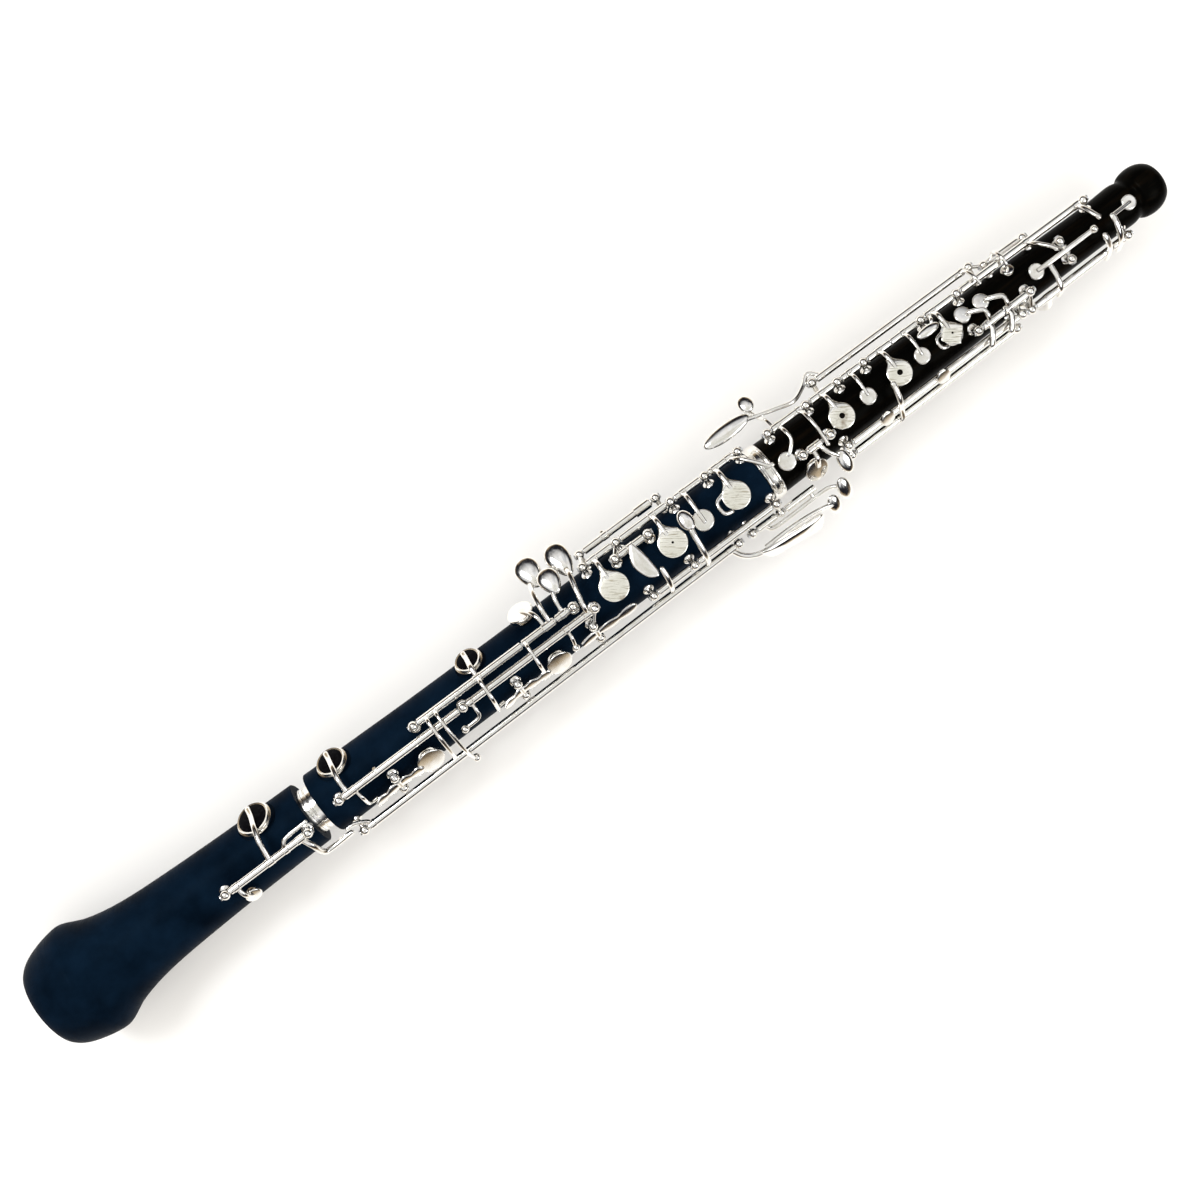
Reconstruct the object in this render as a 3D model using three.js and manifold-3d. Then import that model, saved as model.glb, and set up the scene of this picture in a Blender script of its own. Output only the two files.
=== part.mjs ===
// A full-system oboe: bell, lower joint, upper joint and keywork.
//
// Millimetres, +Z up. The oboe lies on its back along X with its tone holes
// up: the bell's mouth is at -X, the reed end at +X, and the bell and the
// thumb rest touch Z = 0. Places on it are polar: a station measured from the
// bell's mouth, an angle from the top towards +Y, and a distance from the
// centre line.
import * as THREE from 'three';
import { mergeVertices } from 'three/addons/utils/BufferGeometryUtils.js';
import Module from 'manifold-3d';

const wasm = await Module();
wasm.setup();

// ---- driving dimensions ----
// ARM_HALF is half an arm's section as a share of its nominal size, and
// CUP_TOP the top of a cup as a share of its radius.
const LENGTH = 591;
const BELL_RADIUS = 25.7;
const BELL_END = 133;
const LOWER_START = 139.5;
const LOWER_END = 371.5;
const RING_END = 377.8;
const WELL_DEPTH = 16;
const WELL_RADIUS = 4.4;
const GAP = 0.3;
const ROD_RADIUS = 0.85;
const BORE_RADIUS = 1.3;
const TUBE_RADIUS = 1.65;
const BALL_RADIUS = 2.2;
const CHIMNEY = 0.4;
const RIM_ROOT = 1.6;
const TOUCH_THICK = 1.4;
const ARM_HALF = 0.42;
const CUP_BEVEL = 0.8;
const CUP_TOP = 0.72;
const PLATE_VENT = 1.25;
const POST_FOOT = 2.2;
const POST_NECK = 1.2;
const BODY_SIDES = 20;
const PAD_SIDES = 10;
const RIM_SIDES = 8;
const HOLE_SIDES = 6;
const TUBE_SIDES = 6;
const POST_SIDES = 6;
const TOUCH_SIDES = 8;

// Outside radius of the wooden bodies, as [station, radius].
const BODY_PROFILE = [
  [0, 19.2], [2, 20.9], [5, 22.5], [9, 23.9], [14, 25.1], [19, BELL_RADIUS],
  [22, 25.1], [26, 23.2], [31, 21.1], [40, 18.9], [52, 17.3], [70, 16.2],
  [93, 15.3], [112, 14.8], [BELL_END, 14.4],
  [LOWER_START, 14.4], [165, 14.0], [200, 13.4], [250, 13.2],
  [LOWER_END, 12.9], [RING_END, 12.9], [RING_END + GAP, 12.5], [420, 11.7],
  [480, 10.7], [540, 9.8], [560, 9.7], [572, 10.1], [576.5, 9.2],
  [579, 10.9], [583, 11.6], [587, 11.0], [590, 9.3], [LENGTH, 7.6],
];

const SILVER = { color: 0xd9d4c9, roughness: 0.2, metalness: 1 };
const STEEL = { color: 0x9a9ca0, roughness: 0.3, metalness: 1 };
const RESIN = { color: 0x0b1018, roughness: 0.45, metalness: 0 };
const WOOD = { color: 0x0e0a09, roughness: 0.3, metalness: 0 };
const CORK = { color: 0x5a2c20, roughness: 0.9, metalness: 0 };

// ---- places ----
const AXIS = new THREE.Vector3(-LENGTH / 2, 0, BELL_RADIUS);

function at([station, angle, rho]) {
  const turn = THREE.MathUtils.degToRad(angle);
  const out = new THREE.Vector3(0, Math.sin(turn), Math.cos(turn));
  return out.multiplyScalar(rho).add(AXIS).setX(AXIS.x + station);
}

// Frame with X along the oboe, Y round it and Z facing the given angle.
function frame(place, facing = place[1]) {
  const turn = THREE.MathUtils.degToRad(facing);
  const across = new THREE.Vector3(0, Math.cos(turn), -Math.sin(turn));
  const out = new THREE.Vector3(0, Math.sin(turn), Math.cos(turn));
  const along = new THREE.Vector3(1, 0, 0);
  return new THREE.Matrix4().makeBasis(along, across, out).setPosition(at(place));
}

function bodyRadius(station) {
  const next = BODY_PROFILE.findIndex(([s]) => s >= station);
  const [s1, r1] = BODY_PROFILE[next];
  const [s0, r0] = BODY_PROFILE[Math.max(next - 1, 0)];
  return s1 === s0 ? r1 : r0 + (r1 - r0) * (station - s0) / (s1 - s0);
}

// ---- solids ----
function solid(geometry, matrix) {
  const shape = geometry.index ? geometry.toNonIndexed() : geometry.clone();
  if (matrix) shape.applyMatrix4(matrix);
  for (const name of Object.keys(shape.attributes)) {
    if (name !== 'position') shape.deleteAttribute(name);
  }
  const merged = mergeVertices(shape, 1e-4);
  return new wasm.Manifold(new wasm.Mesh({
    numProp: 3,
    vertProperties: new Float32Array(merged.attributes.position.array),
    triVerts: new Uint32Array(merged.index.array),
  }));
}

const join = (pieces) => pieces.reduce((whole, piece) => whole.add(piece));
const cut = (whole, pieces) => pieces.reduce((left, piece) => left.subtract(piece), whole);

// A body of revolution about its own Z, from [height, radius] pairs.
function turned(profile, matrix, sides = PAD_SIDES) {
  const points = profile.map(([z, r]) => new THREE.Vector2(r, z));
  const upright = new THREE.LatheGeometry(points, sides).rotateX(Math.PI / 2);
  return solid(upright, matrix);
}

// A body of revolution about the oboe's centre line.
function turnedBody(profile, sides = BODY_SIDES) {
  const points = profile.map(([s, r]) => new THREE.Vector2(r, s));
  const lying = new THREE.LatheGeometry(points, sides).rotateZ(-Math.PI / 2);
  return solid(lying, new THREE.Matrix4().setPosition(AXIS));
}

function ring(start, end, inner, outer, sides = BODY_SIDES) {
  const corners = [[start, inner], [start, outer], [end, outer], [end, inner], [start, inner]];
  return turnedBody(corners, sides);
}

// A round bar between two points.
function round(from, to, radius, sides = TUBE_SIDES) {
  const a = from.isVector3 ? from : at(from);
  const b = to.isVector3 ? to : at(to);
  const length = a.distanceTo(b);
  const up = new THREE.Vector3(0, 1, 0);
  const turn = new THREE.Quaternion().setFromUnitVectors(up, b.clone().sub(a).normalize());
  const middle = a.clone().add(b).multiplyScalar(0.5);
  const matrix = new THREE.Matrix4().compose(middle, turn, new THREE.Vector3(1, 1, 1));
  return solid(new THREE.CylinderGeometry(radius, radius, length, sides), matrix);
}

// An arm bent through polar places, with a four-sided section.
function arm(places, width = 2, thick = width) {
  const corners = [[-1, -1], [1, -1], [1, 1], [-1, 1]];
  const section = new THREE.Shape(corners.map(
    ([x, y]) => new THREE.Vector2(x * thick * ARM_HALF, y * width * ARM_HALF)));
  const path = new THREE.CatmullRomCurve3(places.map(at), false, 'catmullrom', 0.3);
  const options = { steps: places.length, extrudePath: path, bevelEnabled: false };
  return solid(new THREE.ExtrudeGeometry(section, options));
}

function ball(place, radius) {
  const matrix = new THREE.Matrix4().setPosition(at(place));
  return solid(new THREE.SphereGeometry(radius, 6, 3), matrix);
}

// A pad in its cup, or a plain disc: `rho` is where its underside is.
function cup(station, angle, rho, radius, height = 3) {
  const profile = [
    [0, 0], [0, radius], [height - CUP_BEVEL, radius], [height, radius * CUP_TOP], [height, 0],
  ];
  return turned(profile, frame([station, angle, rho]));
}

// A finger plate with a hole through it.
function ventedCup(station, radius) {
  const hole = round([station, 0, 0], [station, 0, BELL_RADIUS], PLATE_VENT, HOLE_SIDES);
  return cut(cup(station, 0, seat(station), radius), [hole]);
}

// A flat finger touch: an ellipse that narrows by `taper` towards its root.
function touch(place, facing, length, width, taper = 0, thick = TOUCH_THICK) {
  const outline = [];
  for (let i = 0; i < TOUCH_SIDES; i += 1) {
    const a = i * 2 * Math.PI / TOUCH_SIDES;
    const x = Math.sin(a) * (1 + taper * Math.cos(a)) * width / 2;
    outline.push(new THREE.Vector2(x, Math.cos(a) * length / 2));
  }
  const options = { depth: thick, bevelEnabled: false };
  const blade = new THREE.ExtrudeGeometry(new THREE.Shape(outline), options);
  return solid(blade, frame(place, facing));
}

// A flat plate from its corners, given as [along, across] from a place.
function plate(place, facing, corners) {
  const shape = new THREE.Shape(corners.map(([x, y]) => new THREE.Vector2(x, y)));
  const options = { depth: TOUCH_THICK, bevelEnabled: false };
  return solid(new THREE.ExtrudeGeometry(shape, options), frame(place, facing));
}

// ---- hinge lines: each is a steel rod through ball-headed posts ----
const LINES = {
  bell: { from: [88.8, -13, 20], to: [130.6, -13, 20], posts: [88.8, 130.6] },
  centre: { from: [148.6, -4.5, 18.9], to: [280.5, -4.5, 18.4], posts: [148.6, 212.2, 280.5] },
  inner: { from: [191.1, 14.3, 18.6], to: [273.6, 14.3, 18.4], posts: [191.1, 273.6] },
  long: { from: [147.5, -70, 20.4], to: [347, -66, 18.9], posts: [147.5, 347] },
  main_low: {
    from: [287, 55, 18.2], to: [369, 55, 18.2],
    posts: [287, 304.6, 333.4, 351.6, 369],
  },
  outer_low: { from: [289.4, 78, 20], to: [330, 78, 20], posts: [289.4, 330] },
  leaf: { from: [299.8, 34, 17.6], to: [317.2, 34, 17.6], posts: [299.8, 317.2] },
  left_low: { from: [304, -44.5, 18.2], to: [369, -44.5, 18.2], posts: [304, 325.6, 369] },
  lever: { from: [354.6, -70, 18.6], to: [369.6, -70, 18.6], posts: [354.6, 369.6] },
  main_high: {
    from: [384, 53, 16.8], to: [555.5, 56, 14.9],
    posts: [384, 404.6, 421.4, 435.6, 466.6, 486, 555.5],
  },
  outer_high: { from: [414, 79, 19.3], to: [499, 79, 18.9], posts: [414, 499] },
  side_octave: { from: [505, 76, 15.6], to: [526, 76, 15.2], posts: [505, 526] },
  g_sharp: { from: [389.8, -9, 16.6], to: [404.4, -9, 16.6], posts: [389.8, 404.4] },
  left_high: { from: [409.2, -44, 16.6], to: [504, -46, 15.6], posts: [409.2, 504] },
  left_outer: { from: [409.2, -66, 17.6], to: [500, -66, 16.6], posts: [409.2, 500] },
  trill: { from: [482.6, -19, 15.8], to: [511, -19, 15.4], posts: [482.6, 511] },
  octave: { from: [509.4, -54, 15.2], to: [563.2, -54, 14.4], posts: [509.4, 563.2] },
};

// Rocking levers turn on a short pin across the oboe, between two posts.
const SADDLES = {
  low_b_rocker: { station: 171.7, angles: [-28, -56], rho: 17.4 },
  low_c_rocker: { station: 235.8, angles: [-28, -56], rho: 16.8 },
  side_rocker: { station: 275.6, angles: [-26, -54], rho: 16.8 },
  octave_rocker: { station: 534.4, angles: [19, -19], rho: 14.2 },
};

// Neighbouring post sets that a strut holds together: [set, set, from, to].
const STRUTS = [
  ['centre', 'side_rocker', [280.5, -4.5, 18.4], [275.6, -26, 16.8]],
  ['main_low', 'outer_low', [287, 55, 18.2], [289.4, 78, 20]],
  ['main_low', 'leaf', [304.6, 55, 18.2], [299.8, 34, 17.6]],
  ['left_low', 'lever', [369, -44.5, 18.2], [369.6, -70, 18.6]],
  ['outer_high', 'side_octave', [499, 79, 18.9], [505, 76, 15.6]],
  ['left_high', 'left_outer', [409.2, -44, 16.6], [409.2, -66, 17.6]],
  ['octave', 'trill', [509.4, -54, 15.2], [511, -19, 15.4]],
];

function onLine(line, station) {
  const from = at(line.from);
  const to = at(line.to);
  const share = (AXIS.x + station - from.x) / (to.x - from.x);
  return from.lerp(to, share);
}

function polar(point, station) {
  const y = point.y;
  const z = point.z - AXIS.z;
  return [station, THREE.MathUtils.radToDeg(Math.atan2(y, z)), Math.hypot(y, z)];
}

// A post: a foot on the body, a neck and a ball that holds the rod.
function post([station, angle, rho]) {
  const foot = bodyRadius(station) + GAP;
  const rise = rho - foot;
  const r = BALL_RADIUS;
  const profile = [
    [0, 0], [0, POST_FOOT], [1, POST_NECK], [rise - 0.8 * r, POST_NECK],
    [rise - 0.3 * r, r], [rise + 0.4 * r, r], [rise + r, 0],
  ];
  return turned(profile, frame([station, angle, foot]), POST_SIDES);
}

function hingeLine(line) {
  const rod = round(line.from, line.to, ROD_RADIUS);
  const posts = line.posts.map((station) => post(polar(onLine(line, station), station)));
  return join([rod, ...posts]);
}

function saddle({ station, angles, rho }) {
  const ends = angles.map((angle) => [station, angle, rho]);
  return join([round(...ends, ROD_RADIUS), ...ends.map(post)]);
}

function postSets() {
  const sets = {};
  for (const [name, line] of Object.entries(LINES)) sets[name] = hingeLine(line);
  for (const [name, place] of Object.entries(SADDLES)) sets[name] = saddle(place);
  for (const [name, joined, from, to] of STRUTS) {
    sets[name] = join([sets[name], sets[joined], round(from, to, ROD_RADIUS)]);
    delete sets[joined];
  }
  return sets;
}

// A key: its hinge tube from one point to another, and what is soldered to
// it. `closed` pieces are given with the pad on its seat and are swung open
// by `open` degrees for rest; `resting` pieces are given as they stand.
function key([from, to], { closed = [], resting = [], open = 0, radius = TUBE_RADIUS }) {
  const axis = to.clone().sub(from).normalize();
  const pieces = [round(from, to, radius), ...resting];
  if (closed.length) {
    const swing = new THREE.Matrix4().makeRotationAxis(axis, THREE.MathUtils.degToRad(open));
    const there = new THREE.Matrix4().setPosition(from);
    const back = new THREE.Matrix4().setPosition(from.clone().negate());
    pieces.push(join(closed).transform(there.multiply(swing).multiply(back).toArray()));
  }
  const bore = round(from.clone().sub(axis), to.clone().add(axis), BORE_RADIUS);
  return cut(join(pieces), [bore]);
}

const tube = (name, start, end) => [onLine(LINES[name], start), onLine(LINES[name], end)];

function hub(name) {
  const { station, angles, rho } = SADDLES[name];
  const ends = angles.map((angle) => at([station, angle, rho]));
  return [0.3, 0.7].map((share) => ends[0].clone().lerp(ends[1], share));
}

// An arm that starts inside the hinge tube.
function fromTube(lineName, station, places, width, thick) {
  return arm([polar(onLine(LINES[lineName], station), station), ...places], width, thick);
}

// ---- tone holes, as [station, angle, hole radius, rim radius] ----
// A raised hole has a rim that stands proud of the wood; a sunk one lies in a
// round flat cut into it.
const RAISED = {
  bell: [[96.3, -43, 1.8, 3]],
  lower: [
    [188, -42, 3.8, 5.2], [254.6, 61, 3.8, 5.2], [255.4, -42, 3.4, 4.8], [292.5, 0.7, 3.4, 5],
    [323.2, 0.7, 3.4, 5], [339.3, 0, 2, 3.4], [356.6, 0.5, 3.2, 4.8],
  ],
  upper: [
    [383.1, -3, 2.4, 3.8], [392.3, -47, 2.8, 4.2], [412.9, 0, 2.6, 4.2], [427.3, 0, 1.6, 2.8],
    [444, 0, 2.6, 4.2], [456.5, 0, 1.6, 2.8], [472.4, 0, 2, 3.8], [481.9, 18.5, 1.5, 2.7],
    [491.7, 18, 1.5, 2.7], [519.1, 0, 0.9, 2.4], [569.8, 0, 0.9, 2.4],
  ],
};
const SUNK = {
  bell: [[114.8, 52, 5, 8.9]],
  lower: [[154.3, 52, 4.6, 8.1], [225, 53, 4.2, 7.3]],
  upper: [],
};
const SUNK_DEPTH = 1.5;
const HOLE_FLOOR = 1.5;

const seat = (station) => bodyRadius(station) + CHIMNEY + GAP;
const sunkSeat = (station) => bodyRadius(station) - SUNK_DEPTH + GAP;

function drill([station, angle, radius], from) {
  return round([station, angle, from], [station, angle, BELL_RADIUS], radius, HOLE_SIDES);
}

function withHoles(body, where, depth) {
  const rims = RAISED[where].map(([s, angle, , rim]) => round(
    [s, angle, bodyRadius(s) - RIM_ROOT], [s, angle, bodyRadius(s) + CHIMNEY], rim, RIM_SIDES));
  const flats = SUNK[where].map(([s, angle, , rim]) => drill(
    [s, angle, rim], bodyRadius(s) - SUNK_DEPTH));
  const holes = [...RAISED[where], ...SUNK[where]].map((hole) => drill(hole, depth));
  return cut(join([body, ...rims]), [...flats, ...holes]);
}

const outline = (from, to) => BODY_PROFILE.filter(([s]) => s >= from && s <= to);

// ---- wooden bodies ----
const SOCKET = 15;
const TENON = 20;

function bell() {
  const inside = [
    [BELL_END, 10.9], [BELL_END - SOCKET, 10.9], [BELL_END - SOCKET, 8.4], [96, 9.3],
    [60, 11.2], [38, 14.2], [22, 17], [8, 17.8], [0.4, 17.4],
  ];
  const body = turnedBody([...outline(0, BELL_END), ...inside, [0, 19.2]]);
  return withHoles(body, 'bell', HOLE_FLOOR);
}

function lowerJoint() {
  const tenon = [[LOWER_START - TENON, 7.4], [LOWER_START - TENON, 9.3], [LOWER_START, 9.3]];
  const inside = [[LOWER_END, 9.4], [LOWER_END - TENON, 9.4], [LOWER_END - TENON, 4.6]];
  const sides = outline(LOWER_START, LOWER_END);
  const body = turnedBody([...tenon, ...sides, ...inside, tenon[0]]);
  return withHoles(body, 'lower', HOLE_FLOOR);
}

function upperJoint() {
  const start = RING_END + GAP;
  const tenon = [[start - TENON, 4.4], [start - TENON, 7.6], [start, 7.6]];
  const well = [
    [LENGTH, WELL_RADIUS], [LENGTH - WELL_DEPTH, WELL_RADIUS], [LENGTH - WELL_DEPTH, 2.4],
  ];
  const body = turnedBody([...tenon, ...outline(start, LENGTH), ...well, tenon[0]]);
  return withHoles(body, 'upper', HOLE_FLOOR);
}

// ---- fittings on the bodies ----
const sleeve = () => turnedBody([
  [131.2, 9.6], [131.2, 10.6], [134.9, 10.6], [135.2, 10.2], [135.5, 10.6], [139.2, 10.6],
  [139.2, 9.6], [131.2, 9.6],
]);

const middleRing = () => turnedBody([
  [LOWER_END + GAP, 9.4], [LOWER_END + GAP, 12.7], [LOWER_END + 1, 13.1],
  [LOWER_END + 3, 13.5], [RING_END - 1, 13.3], [RING_END, 12.8], [RING_END, 9.4],
  [LOWER_END + GAP, 9.4],
]);

const reedWell = () => ring(LENGTH - WELL_DEPTH + 1, LENGTH, 3.5, WELL_RADIUS - GAP, PAD_SIDES);

// The thumb rest: a curved-backed plate with a slot, and a hook whose tongue
// rides in it. The hook's side is given as [along, out], to HOOK_HEIGHT.
const THUMB_STATION = 262;
const THUMB_WIDTH = 18;
const PLATE_THICK = 2.4;
const STEM_THICK = 1.8;
const HOOK_HEIGHT = 9.2;
const HOOK_SIDE = [
  [-5.5, 0], [0.5, 0], [3, 5], [7.5, 7.6], [7.5, HOOK_HEIGHT], [0, HOOK_HEIGHT], [-3.4, 5],
];

const block = (size, rho) => solid(
  new THREE.BoxGeometry(...size), frame([THUMB_STATION, 180, rho]));

function thumbPlate() {
  const back = bodyRadius(THUMB_STATION) + GAP;
  const base = block([30, 10, PLATE_THICK], back + PLATE_THICK / 2);
  const slot = block([7, 5.2, 6], back + PLATE_THICK / 2);
  const body = round([THUMB_STATION - 30, 0, 0], [THUMB_STATION + 30, 0, 0], back, BODY_SIDES);
  return cut(base, [slot, body]);
}

function thumbHook() {
  const foot = bodyRadius(THUMB_STATION) + GAP + PLATE_THICK + GAP;
  const root = foot + STEM_THICK / 2;
  const stem = block([11, 9, STEM_THICK], root);
  const tongue = block([6, 4.4, PLATE_THICK], foot - 0.9);
  const side = new THREE.Shape(HOOK_SIDE.map(([x, y]) => new THREE.Vector2(x, y)));
  const hook = new THREE.ExtrudeGeometry(side, { depth: THUMB_WIDTH, bevelEnabled: false });
  hook.rotateX(Math.PI / 2).translate(0, THUMB_WIDTH / 2, 0);
  hook.scale(1, 1, (BELL_RADIUS - root) / HOOK_HEIGHT);
  return join([stem, tongue, solid(hook, frame([THUMB_STATION, 180, root]))]);
}

// ---- keys ----
// The leaf-shaped touch, as [along, across].
const LEAF = [
  [1.2, 9.5], [-1.4, 7], [-3.8, 2.5], [-4.2, -1], [-2, -7], [2, -9.8], [3.4, -7.5], [3, 1],
];

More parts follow.
